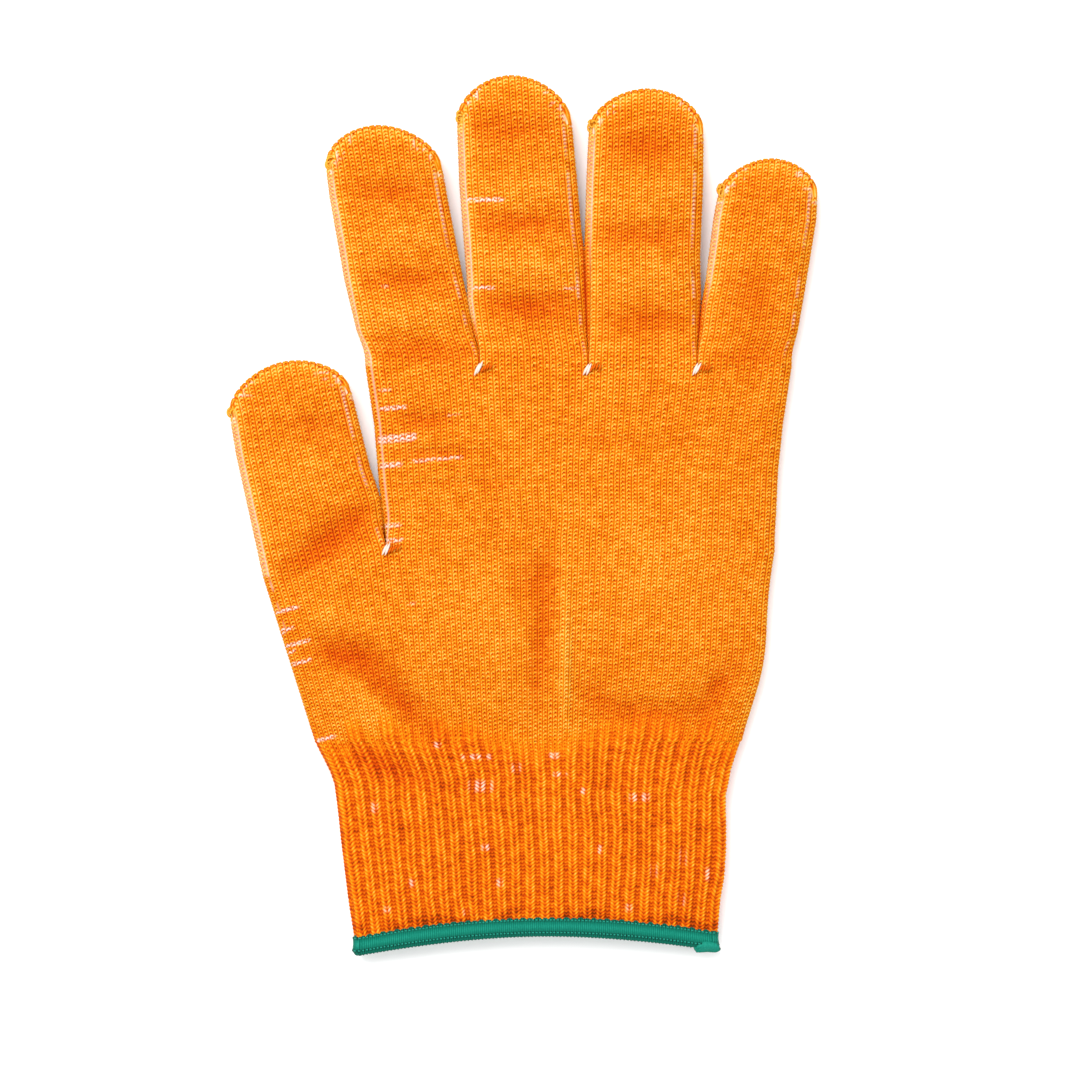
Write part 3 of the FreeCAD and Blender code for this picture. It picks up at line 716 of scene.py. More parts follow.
@dataclass(frozen=True)
class BodyShape:
    """Outline and heights of the palm, heel and cuff in mm. Edges are (y, x) pairs."""

    palm_wales: int = 66
    thumb_wales: int = 18
    thumb_width: float = 30.45
    centre: float = 4.2
    half: float = 3.7
    cuff_centre: float = 3.9
    cuff_half: float = 2.9
    palm_left: tuple = ((-8.2, -36.0), (7.7, -37.9), (22.1, -39.1), (36.0, -41.2))
    palm_right: tuple = ((-8.2, 57.0), (10.6, 57.8), (22.0, 59.0), (36.0, 61.1))
    crotches: tuple = (-13.9, 12.24, 38.4)
    crotch_wales: tuple = (0, 17, 34, 51, 66)
    cuff_left: tuple = (
        (-102.0, -43.6), (-93.0, -45.0), (-84.5, -46.2), (-73.0, -47.5), (-64.3, -48.6),
        (-61.4, -49.6), (-58.6, -51.0), (-54.2, -53.3),
    )
    cuff_right: tuple = (
        (-102.0, 43.0), (-93.0, 43.9), (-87.4, 44.7), (-81.0, 45.1), (-67.0, 45.3), (-64.3, 45.9),
        (-61.4, 46.4), (-58.6, 47.2), (-54.2, 48.7),
    )

    @property
    def wales(self) -> int:
        """Columns across the heel and the cuff."""
        return self.palm_wales + self.thumb_wales

    @staticmethod
    def edge(points: tuple, y: np.ndarray) -> np.ndarray:
        """X of an edge at each y."""
        ys, xs = zip(*points)
        return np.interp(y, ys, xs)

    def heel(self, s: np.ndarray, t: np.ndarray, inset: float = 0.0) -> np.ndarray:
        """Point of the heel.

        Args:
            s: Ring coordinate round the heel.
            t: 0 at the crotch line to 1 at the wrist.
            inset: Distance inside the outer face.

        Returns:
            Points in mm.
        """
        n = self.wales
        share, level, side = Ring(n).split(s)
        wale = share * n
        marks = [0, self.thumb_wales, n]
        thumb_x = CROTCH[0] + (FOLD - self.thumb_width) * math.cos(THUMB_TURN)
        thumb_y = CROTCH[1] - self.thumb_width * math.sin(THUMB_TURN)
        top_x = np.interp(wale, marks, [thumb_x, CROTCH[0], self.palm_right[0][1] - FOLD])
        top_y = np.interp(wale, marks, [thumb_y, CROTCH[1], CROTCH[1]])
        low_x = np.interp(wale, [0, n], [self.cuff_left[-1][1] + FOLD, self.cuff_right[-1][1] - FOLD])
        x = top_x * (1 - t) + low_x * t
        y = top_y * (1 - t) + WRIST_Y * t
        x = x + 2.2 * bell(t, 0.6, 0.3) * smooth((share - 0.6) / 0.4) * (t * (1 - t) > 0)
        flat = smooth((t - 0.5) / 0.5)
        centre = self.centre + (self.cuff_centre - self.centre) * flat
        half = self.half + (self.cuff_half - self.half) * flat
        z = lay(level, fullness(share), centre, half, FOLD - inset)
        x = x + bulge_out(side, level, FOLD - inset)
        return np.stack([x, y + 0 * x, z], axis=-1)

    def palm(self, s: np.ndarray, y: np.ndarray, inset: float = 0.0) -> np.ndarray:
        """Point of the four-finger part of the palm.

        Args:
            s: Ring coordinate round the palm.
            y: Height above the origin, the same for every point.
            inset: Distance inside the outer face.

        Returns:
            Points in mm.
        """
        share, level, side = Ring(self.palm_wales).split(s)
        left = self.edge(self.palm_left, y) + FOLD
        right = self.edge(self.palm_right, y) - FOLD
        first = self.palm_left[-1][1] + FOLD
        last = self.palm_right[-1][1] - FOLD
        even = left + (right - left) * share
        steered = np.interp(share * self.palm_wales, self.crotch_wales, [first, *self.crotches, last])
        steered = steered + (left - first) * (1 - share) + (right - last) * share
        pull = smooth((y - 5.0) / (KNUCKLE_Y - 5.0))
        x = even * (1 - pull) + steered * pull
        z = lay(level, fullness(share), self.centre, self.half, FOLD - inset)
        x = x + bulge_out(side, level, FOLD - inset)
        free = np.stack([x, y + 0 * x, z], axis=-1)
        drift = (left - (CROTCH[0] + FOLD)) * (1 - share)
        joined = self.crotch_row(s, inset) + np.stack([drift, y - CROTCH[1] + 0 * x, 0 * x], axis=-1)
        blend = smooth((y - CROTCH[1]) / REACH)[..., None]
        return joined * (1 - blend) + free * blend

    def crotch_row(self, s: np.ndarray, inset: float) -> np.ndarray:
        """Row where the palm joins the heel, with a straight wall at the thumb crotch.

        Args:
            s: Ring coordinate round the palm.
            inset: Distance inside the outer face.

        Returns:
            Points in mm.
        """
        share, level, side = Ring(self.palm_wales).split(s)
        ring = Ring(self.wales)
        wale = self.thumb_wales + share * self.palm_wales
        crotch = np.full_like(wale, float(self.thumb_wales))

        def row(place: np.ndarray) -> np.ndarray:
            """Points of the heel's top row."""
            return self.heel(place, np.zeros_like(place), inset)

        rows = np.where((level >= 1.0)[..., None], row(wale), row(ring.back(wale)))
        rows = np.where((side > 0)[..., None], row(self.wales + (s - self.palm_wales)), rows)
        up = ((level + 1) / 2)[..., None]
        crotch_wall = row(ring.back(crotch)) * (1 - up) + row(crotch) * up
        return np.where((side < 0)[..., None], crotch_wall, rows)

    def cuff(self, s: np.ndarray, t: np.ndarray, inset: float = 0.0) -> np.ndarray:
        """Point of the cuff.

        Args:
            s: Ring coordinate round the cuff.
            t: 0 at the wrist to 1 at the hem line.
            inset: Distance inside the outer face.

        Returns:
            Points in mm.
        """
        share, level, side = Ring(self.wales).split(s)
        straight = WRIST_Y + (MOUTH_Y - WRIST_Y) * t
        left = self.edge(self.cuff_left, straight) + FOLD
        right = self.edge(self.cuff_right, straight) - FOLD
        x = left + (right - left) * share + bulge_out(side, level, FOLD - inset)
        y = straight + t * (MOUTH_BOW * (1 - (2 * share - 1) ** 2) + MOUTH_TILT * (share - 0.5))
        z = lay(level, fullness(share), self.cuff_centre, self.cuff_half, FOLD - inset)
        return np.stack([x, y, z], axis=-1)


SHAPE = BodyShape()


def ring_faces(rows: int, cols: int, looped: bool = False) -> np.ndarray:
    """Faces of a grid that is closed across its columns.

    Args:
        rows: Number of rows.
        cols: Points in each row.
        looped: Whether the last row joins the first.

    Returns:
        Four indices per face, row by row.
    """
    i, j = np.meshgrid(np.arange(rows if looped else rows - 1), np.arange(cols), indexing="ij")
    a = (i + 1) % rows
    b = (j + 1) % cols
    return np.stack([i * cols + j, i * cols + b, a * cols + b, a * cols + j], axis=-1).reshape(-1, 4)


class Cloth(NamedTuple):
    """What dresses each point of a grid.

    The lift is in mm along the normal; the shading tone goes from 0 (painted shade in the hollows)
    to 1 (painted highlight on the crests), with some random tone; and the white goes from -1 (deep red,
    painted shade in folds and slits, also the red of the small crotch stitches) to 1 (plating yarn).
    """

    lift: np.ndarray
    depth: np.ndarray
    white: np.ndarray


def over(white: np.ndarray, extra: np.ndarray) -> np.ndarray:
    """Lay more plating yarn over a surface without touching the deep red painted shade around it."""
    return np.where(extra > 0.02, np.maximum(white, extra), white)


def dress_grid(points: np.ndarray, look: Stitches, level: np.ndarray, rise: np.ndarray,
               weave: Weave) -> Cloth:
    """Relief and colours of a knitted grid.

    Args:
        points: Grid of points in mm.
        look: Stitches at each point.
        level: +1 on the palm side to -1 on the back.
        rise: Height of the soft wrinkles at each point.
        weave: How the surface is drawn.

    Returns:
        What dresses each point.
    """
    lift = weave.relief * (look.height - 0.6)
    # Painted light and shade: wrinkle ridges lighter, wrinkle dips darker.
    tone = look.tone + weave.fold_painted_shading * np.clip(rise, -1.6, 1.4)
    white = flecks(points[..., 0], points[..., 1]) * (level > 0.5) * smooth((look.crown - 0.12) / 0.4)
    # Painted shade: wrinkle dips are tinted deep red.
    red_fold_shade = weave.fold_painted_red_shade * np.clip(-rise, 0.0, 1.6)
    return Cloth(lift, tone, over(-red_fold_shade, white))


def palm_wrinkles(points: np.ndarray, level: np.ndarray,
                  fade: np.ndarray) -> tuple[np.ndarray, np.ndarray]:
    """Add the soft wrinkles to the palm side only.

    Args:
        points: Grid of points in mm.
        level: +1 on the palm side to -1 on the back.
        fade: 0 where the cloth stays as it is to 1 where it wrinkles fully.

    Returns:
        The moved points, and how far each one rose.
    """
    out = points.copy()
    rise = wrinkles(points[..., 0], points[..., 1]) * (level > 0) * smooth(level) * fade
    out[..., 2] += rise
    return out, rise


def edge_fade(share: np.ndarray) -> np.ndarray:
    """0 at the folded edges to 1 a little way in."""
    return smooth((1 - np.abs(2 * share - 1)) / 0.18)


def tip_rise(across: np.ndarray) -> np.ndarray:
    """Outline of a rounded tip: its height, from 0 at both shoulders to 1 in the middle."""
    return np.clip(1.0 - np.abs(across) ** TIP_POWER, 0, 1) ** (1.0 / TIP_POWER)


@dataclass(frozen=True)
class DigitShape:
    """Outline of a finger or the thumb. Edges are (y, x) pairs in the digit's own frame."""

    name: str
    wales: int
    offset: int
    left: tuple
    right: tuple
    shoulder: float
    cap: float
    base: float
    nodes: tuple
    splits: tuple
    hinges: tuple
    slit_rows: tuple
    joined_left: bool = True
    joined_right: bool = True
    thumb: bool = False
    half: float = 3.5
    centre: float = 4.1

    def fold(self, y: np.ndarray) -> np.ndarray:
        """Radius of the folded edge: tighter by the crotch, where digits touch, and at the tip."""
        tight = 0.0 if self.thumb else 0.85 * smooth(1.0 - (y - self.base) / 30.0)
        return FOLD - tight - (FOLD - TIP_FOLD) * smooth((y - self.shoulder) / (0.8 * self.cap))

    def to_world(self, p: np.ndarray) -> np.ndarray:
        """Turn points of the digit's own frame into the glove's frame."""
        if not self.thumb:
            return p
        c = math.cos(THUMB_TURN)
        s = math.sin(THUMB_TURN)
        out = p.copy()
        out[..., 0] = CROTCH[0] + p[..., 0] * c - p[..., 1] * s
        out[..., 1] = CROTCH[1] + p[..., 0] * s + p[..., 1] * c
        return out

    def between(self, share: np.ndarray, y: np.ndarray, fold: np.ndarray) -> np.ndarray:
        """X at a share of the way from the left fold to the right one."""
        left = BodyShape.edge(self.left, y) + fold
        right = BodyShape.edge(self.right, y) - fold
        return left + (right - left) * share


class Digit:
    """A finger or the thumb: one knitted tube, closed and rounded at the tip."""

    LEAST_FOLD = 0.12
    RIM_ROUND = 13.0
    RIM_ROWS = 1.6

    def __init__(self, shape: DigitShape, weave: Weave) -> None:
        """Lay out the tube.

        Args:
            shape: Outline of the digit.
            weave: How finely it is drawn.
        """
        self.shape = shape
        self.weave = weave
        self.ring = Ring(shape.wales)
        self.s = np.arange(self.ring.total * weave.per_wale) / weave.per_wale
        self.share, self.level, self.side = self.ring.split(self.s)
        self.across = 2 * self.share - 1
        self.height = shape.cap - weave.inset
        self.end = shape.shoulder + self.height * tip_rise(self.across)
        self.skin = self.lay_out()

    def parent(self, s: np.ndarray) -> np.ndarray:
        """Points of the palm's or the heel's row that the digit grows out of."""
        if self.shape.thumb:
            return SHAPE.heel(s, np.zeros_like(s), self.weave.inset)
        return SHAPE.palm(s, np.full_like(s, KNUCKLE_Y), self.weave.inset)

    def base_row(self) -> np.ndarray:
        """The row where the digit leaves the palm or the heel, in the glove's frame."""
        sh = self.shape
        total = SHAPE.wales if sh.thumb else SHAPE.palm_wales
        under = Ring(total).back
        wale = sh.offset + self.share * sh.wales
        rows = np.where((self.level > 0)[..., None], self.parent(wale), self.parent(under(wale)))
        up = ((self.level + 1) / 2)[..., None]
        ends = ((-1, sh.joined_left, sh.offset), (1, sh.joined_right, sh.offset + sh.wales))
        for sign, joined, mark in ends:
            if joined:
                corner = np.full_like(self.s, float(mark))
                wall = self.parent(under(corner)) * (1 - up) + self.parent(corner) * up
            else:
                outer = total - sh.wales + self.s if sign > 0 else 2 * (total - sh.wales) + self.s
                wall = self.parent(np.clip(outer, 0, Ring(total).total))
            rows = np.where((self.side == sign)[..., None], wall, rows)
        return rows

    def tube(self, y: np.ndarray, level: np.ndarray, free_share: np.ndarray) -> np.ndarray:
        """Points of the lying tube, which grows out of its base row.

        Args:
            y: Place along the digit at each point.
            level: +1 on the palm side to -1 on the back.
            free_share: 0 at the base row to 1 where the digit has its own shape.

        Returns:
            Points in the glove's frame.
        """
        sh = self.shape
        fold = sh.fold(y)
        room = np.maximum(fold - self.weave.inset, self.LEAST_FOLD)
        x = sh.between(self.share, y, fold) + bulge_out(self.side, self.level, room)
        worn = np.abs(self.across) ** 2.5 + (np.clip(y - sh.shoulder, 0, None) / sh.cap) ** 2
        z = lay(level, np.sqrt(np.clip(1 - worn, 0, 1)), sh.centre, sh.half, room)
        free = sh.to_world(np.stack([x, y, z], axis=-1))
        heading = sh.to_world(np.array([0.0, 1.0, 0.0])) - sh.to_world(np.zeros(3))
        joined = self.base_row()[None] + (y - sh.base)[..., None] * heading
        return joined * (1 - free_share) + free * free_share

    def lay_out(self) -> Skin:
        """Points, faces and colours of the whole tube with its rounded tip."""
        sh = self.shape
        rows = round((sh.shoulder + sh.cap - sh.base) / COURSE) * self.weave.per_course + 1
        heights = np.linspace(sh.base, sh.shoulder + self.height, rows)
        y = np.minimum(heights[:, None], self.end[None, :])
        level = np.broadcast_to(self.level, y.shape)
        free_share = smooth((y - sh.base) / REACH)[..., None]
        fade = np.minimum(edge_fade(self.share)[None, :], smooth((self.end[None, :] - y) / 5.0))
        fade = np.maximum(fade, 1 - free_share[..., 0])
        points, rise = palm_wrinkles(self.tube(y, level, free_share), level, fade)
        return self.close_tip(points, self.dress(points, y, level, rise), heights)

    def dress(self, points: np.ndarray, y: np.ndarray, level: np.ndarray, rise: np.ndarray) -> Cloth:
        """Relief and colours of the tube.

        Args:
            points: Grid of points in mm.
            y: Place along the digit at each point.
            level: +1 on the palm side to -1 on the back.
            rise: Height of the soft wrinkles at each point.

        Returns:
            What dresses each point.
        """
        course = (y - self.shape.base) / COURSE
        wale = np.broadcast_to(self.s, y.shape)
        below = self.end[None, :] - y
        lift, depth, white = dress_grid(points, PLAIN.draw(wale, course), level, rise, self.weave)
        lift = lift * (0.55 + 0.45 * smooth(below / 1.5))
        if self.weave.outside:
            slit = self.slit(wale, course)
            line = self.fold_line(wale, course) * (1.0 - slit) * smooth(0.2 + below / 5.0)
            # Painted shade in the slit beside the next digit; painted light along the left edge and round
            # the tip.
            depth = depth * (1.0 - 0.10 * slit) + self.rim_painted_light(wale, below) * (1.0 - slit)
            n = self.shape.wales
            wall = np.where(wale < n, 0.0, np.minimum(wale - n, self.ring.total - wale))
            # Painted shade: the slit's wall is tinted deep red.
            white = over(white, line) * (1.0 - slit) - 0.85 * slit * smooth((wall - 0.3) / 0.7)
            white = over(white, self.shoulder_white(points, y, below) * smooth((depth - 0.4) / 0.3))
        return Cloth(lift, depth, white)

    def slit(self, wale: np.ndarray, course: np.ndarray) -> np.ndarray:
        """How deep each point lies in the slit beside the next digit.

        Args:
            wale: Ring coordinate of each point.
            course: Row coordinate of each point.

        Returns:
            0 in the open to 1 in the slit.
        """
        n = self.shape.wales
        left_rows, right_rows = self.shape.slit_rows
        left = smooth((3.0 - (self.ring.total - wale)) / 0.5) + smooth(1.0 - wale / 0.35)
        right = smooth((wale - (n - 0.2)) / 0.3) * smooth((n + 3.0 - wale) / 0.3)
        low_left = smooth(1.6 - course / max(left_rows, 0.1)) * (left_rows > 0)
        low_right = smooth(1.6 - course / max(right_rows, 0.1)) * (right_rows > 0)
        return np.clip(left * low_left + right * low_right, 0.0, 1.0)

    def rim_painted_light(self, wale: np.ndarray, below: np.ndarray) -> np.ndarray:
        """Painted light: extra brightness along the left folded edge and round the tip."""
        return 0.14 * bell(self.ring.from_left(wale), 0.0, 1.6) + 0.14 * smooth(1.0 - below / 3.5)

    def fold_line(self, wale: np.ndarray, course: np.ndarray) -> np.ndarray:
        """White yarn that shows in the groove along the folded edges.

        Args:
            wale: Ring coordinate of each point.
            course: Row coordinate of each point.

        Returns:
            0 where none shows to 1 where all of it does.
        """
        n = self.shape.wales
        beyond = self.ring.total - wale
        line = bell(self.ring.from_left(wale), 0.0, 0.11) * (0.85 + 0.15 * np.cos(2.0 * math.pi * course))
        bars = smooth(beyond / 0.3) * smooth((1.6 - beyond) / 0.4) * cycle(course - beyond)
        broken = smooth(0.5 + 1.4 * lattice_noise(course, wale * 0 + n, 4.0, 21)) * smooth(course / 10.0)
        weak = bell(wale, n - 0.5, 0.16) * cycle(course)
        return np.maximum(np.maximum(line, 0.35 * bars), 0.65 * weak * broken)

    def shoulder_white(self, points: np.ndarray, y: np.ndarray, below: np.ndarray) -> np.ndarray:
        """White flecks on both shoulders of the tip.

        Args:
            points: Grid of points in mm.
            y: Place along the digit at each point.
            below: Distance below the tip's outline.

        Returns:
            0 where no white shows to 1 where it shows fully.
        """
        near = smooth(1.0 - below / 4.5) * smooth((y - self.shape.shoulder + 4.0) / 2.0)
        sides = smooth((np.abs(self.across) - 0.45) / 0.2) * np.where(self.across < 0, 0.8, 0.65)
        dots = smooth(lattice_noise(points[..., 0], points[..., 1], 0.8, 31) * 2.4 - 0.55)
        return near * sides[None, :] * dots

    def close_tip(self, points: np.ndarray, cloth: Cloth, heights: np.ndarray) -> Skin:
        """Weld the points past the tip's outline and close the rim between palm and back side.

        Args:
            points: Grid of points in mm.
            cloth: What dresses each of them.
            heights: Place along the digit of each row.

        Returns:
            The finished skin; the key of a face is its share of the way to the tip.
        """
        rows, cols = len(heights), len(self.s)
        index = np.arange(rows * cols).reshape(rows, cols)
        first = np.argmax(heights[:, None] >= self.end[None, :] - 1e-6, axis=0)
        for column, row in enumerate(first):
            index[row:, column] = index[row, column]
        quads = index.ravel()[ring_faces(rows, cols)]
        open_faces = (quads[:, 0] != quads[:, 3]) | (quads[:, 1] != quads[:, 2])
        row_of = np.repeat(np.arange(rows - 1), cols)[open_faces]
        rim, rim_faces = self.rim(index[-1], rows * cols)
        rim_cloth = self.dress_rim()
        return Skin(
            np.concatenate([points.reshape(-1, 3), rim]),
            np.concatenate([quads[open_faces], rim_faces]),
            *(np.concatenate([whole.ravel(), added]) for whole, added in zip(cloth, rim_cloth)),
            np.concatenate([row_of / (rows - 1), np.ones(len(rim_faces))]),
        )

    def rim(self, edge: np.ndarray, count: int) -> tuple[np.ndarray, np.ndarray]:
        """Rounded rim of the tip.

        Args:
            edge: Index of the last point in each column of the tube.
            count: Number of points in the tube.

        Returns:
            The rim's own points, and faces that join them to the tube.
        """
        sh = self.shape
        steps = WALL * self.weave.per_wale
        span = sh.wales * self.weave.per_wale
        under = self.ring.back(0) * self.weave.per_wale
        index = np.zeros((span + 1, steps + 1), dtype=int)
        index[0] = edge[(under + steps - np.arange(steps + 1)) % len(edge)]
        index[span] = edge[span:span + steps + 1]
        index[:, 0] = edge[:span + 1]
        index[:, steps] = edge[under - np.arange(span + 1)]
        index[1:span, 1:steps] = count + np.arange((span - 1) * (steps - 1)).reshape(span - 1, steps - 1)
        share = np.arange(1, span) / span
        rise = tip_rise(2 * share - 1)
        y = sh.shoulder + self.height * rise
        fold = sh.fold(y)
        room = np.maximum(fold - self.weave.inset, self.LEAST_FOLD)[:, None]
        middle = np.stack([sh.between(share, y, fold), y, np.full_like(y, sh.centre)], axis=-1)
        out = np.stack([(2 * share - 1) / self.RIM_ROUND, rise / sh.cap, 0 * rise], axis=-1)
        out /= np.linalg.norm(out, axis=1, keepdims=True)
        angle = math.pi * np.arange(1, steps) / steps
        points = middle[:, None] + out[:, None] * (room * np.sin(angle))[..., None]
        points[..., 2] += room * np.cos(angle)
        a, b = np.meshgrid(np.arange(span), np.arange(steps), indexing="ij")
        faces = np.stack([index[a, b], index[a + 1, b], index[a + 1, b + 1], index[a, b + 1]], axis=-1)
        return sh.to_world(points.reshape(-1, 3)), faces.reshape(-1, 4)

    def dress_rim(self) -> Cloth:
        """Relief and tones of the rim's own points."""
        per_wale = self.weave.per_wale
        span = self.shape.wales * per_wale
        steps = WALL * per_wale
        wale = np.repeat(np.arange(1, span) / per_wale, steps - 1)
        turn = np.tile(np.arange(1, steps) / per_wale, span - 1)
        look = PLAIN.draw(wale, turn * self.RIM_ROWS)
        return Cloth(self.weave.relief * (look.height - 0.4), look.tone, np.zeros(len(wale)))

    def pieces(self, suffix: str) -> list[bpy.types.Object]:
        """Part the skin into one piece per joint.

        Args:
            suffix: Ending of the piece and node names.

        Returns:
            The new objects, from base to tip.
        """
        sh = self.shape
        length = sh.shoulder + self.height - sh.base
        marks = [0.0, *((split - sh.base) / length for split in sh.splits), 2.0]
        made = []
        for k, (before, after, start, stop) in enumerate(sh.hinges):
            mask = (self.skin.key >= marks[k]) & (self.skin.key < marks[k + 1])
            node = "%s_%s" % (sh.nodes[k], suffix)
            obj = MeshMaker.from_skin(node + "_knit", self.skin, mask)
            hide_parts(node)
            a = sh.to_world(np.array([0.0, start, HINGE_Z]))
            b = sh.to_world(np.array([0.0, stop, HINGE_Z]))
            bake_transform(obj)
            made.append(obj)
        return made


@dataclass(frozen=True)
class FingerPlan:
    """What sets one finger apart from the others, in mm and columns.

    The bends are the middle and the end joint, the slit rows say how far up the slit beside the
    next digit goes on the left and on the right, and meets says which sides have such a neighbour.
    """

    name: str
    wales: int
    offset: int
    left: tuple
    right: tuple
    shoulder: float
    cap: float
    bends: tuple
    slit_rows: tuple
    meets: tuple = (True, True)
    reach: float = 5.0

    def shape(self) -> DigitShape:
        """Full description of the finger."""
        first, second = self.bends
        base, middle, tip = nodes = tuple(self.name + part for part in ("_base", "_middle", "_tip"))
        hinges = (
            ("palm", base, KNUCKLE_Y, KNUCKLE_Y + REACH),
            (base, middle, first - self.reach, first + self.reach),
            (middle, tip, second - self.reach, second + self.reach),
        )
        splits = ((KNUCKLE_Y + first) / 2 + 2.0, (first + second) / 2)
        return DigitShape(
            self.name, self.wales, self.offset, self.left, self.right, self.shoulder, self.cap,
            KNUCKLE_Y, nodes, splits, hinges, self.slit_rows, *self.meets,
        )


INDEX = FingerPlan(
    "index", 17, 0,
    left=((36.0, -41.2), (56.6, -46.2), (76.8, -49.8), (94.0, -52.0)),
    right=((36.0, -13.9), (52.0, -16.75), (56.6, -17.8), (76.8, -21.7), (94.0, -24.6)),
    shoulder=83.2, cap=9.8, bends=(58.0, 76.5), slit_rows=(0.0, 9.0), meets=(False, True),
)
MIDDLE = FingerPlan(
    "middle", 17, 17,
    left=((36.0, -13.9), (52.0, -16.65), (56.6, -16.8), (79.7, -18.6), (106.0, -19.6)),
    right=((36.0, 12.24), (63.5, 11.25), (68.2, 10.6), (79.7, 9.6), (106.0, 7.2)),
    shoulder=94.2, cap=10.8, bends=(61.0, 83.0), slit_rows=(9.0, 27.0),
)
RING_FINGER = FingerPlan(
    "ring", 17, 34,
    left=((36.0, 12.24), (63.5, 11.35), (68.2, 11.6), (79.7, 11.9), (103.0, 13.0)),
    right=((36.0, 38.4), (53.0, 39.3), (62.4, 39.1), (79.7, 39.8), (103.0, 40.1)),
    shoulder=92.0, cap=9.8, bends=(60.0, 81.0), slit_rows=(27.0, 16.0),
)
LITTLE = FingerPlan(
    "little", 15, 51,
    left=((36.0, 38.4), (46.0, 39.1), (51.0, 39.6), (56.6, 40.6), (71.0, 42.4), (86.0, 45.2)),
    right=((36.0, 61.1), (53.8, 64.2), (71.0, 67.0), (86.0, 67.8)),
    shoulder=76.6, cap=8.4, bends=(54.0, 69.5), slit_rows=(16.0, 0.0), meets=(True, False),
)
THUMB = DigitShape(
    "thumb", 18, 0,
    left=((0.0, -30.45), (30.0, -30.6), (50.0, -29.6)),
    right=((0.0, 0.0), (6.0, 0.45), (12.0, 1.0), (15.0, 0.75), (20.0, 0.1), (30.0, -0.2), (50.0, -0.8)),
    shoulder=39.0, cap=9.6, base=0.0, nodes=("thumb_base", "thumb_tip"), splits=(14.0,),
    hinges=(("thumb_mound", "thumb_base", 0.0, REACH), ("thumb_base", "thumb_tip", 21.0, 31.0)),
    slit_rows=(0.0, 5.0), joined_left=False, thumb=True,
)
DIGITS = (*(plan.shape() for plan in (INDEX, MIDDLE, RING_FINGER, LITTLE)), THUMB)


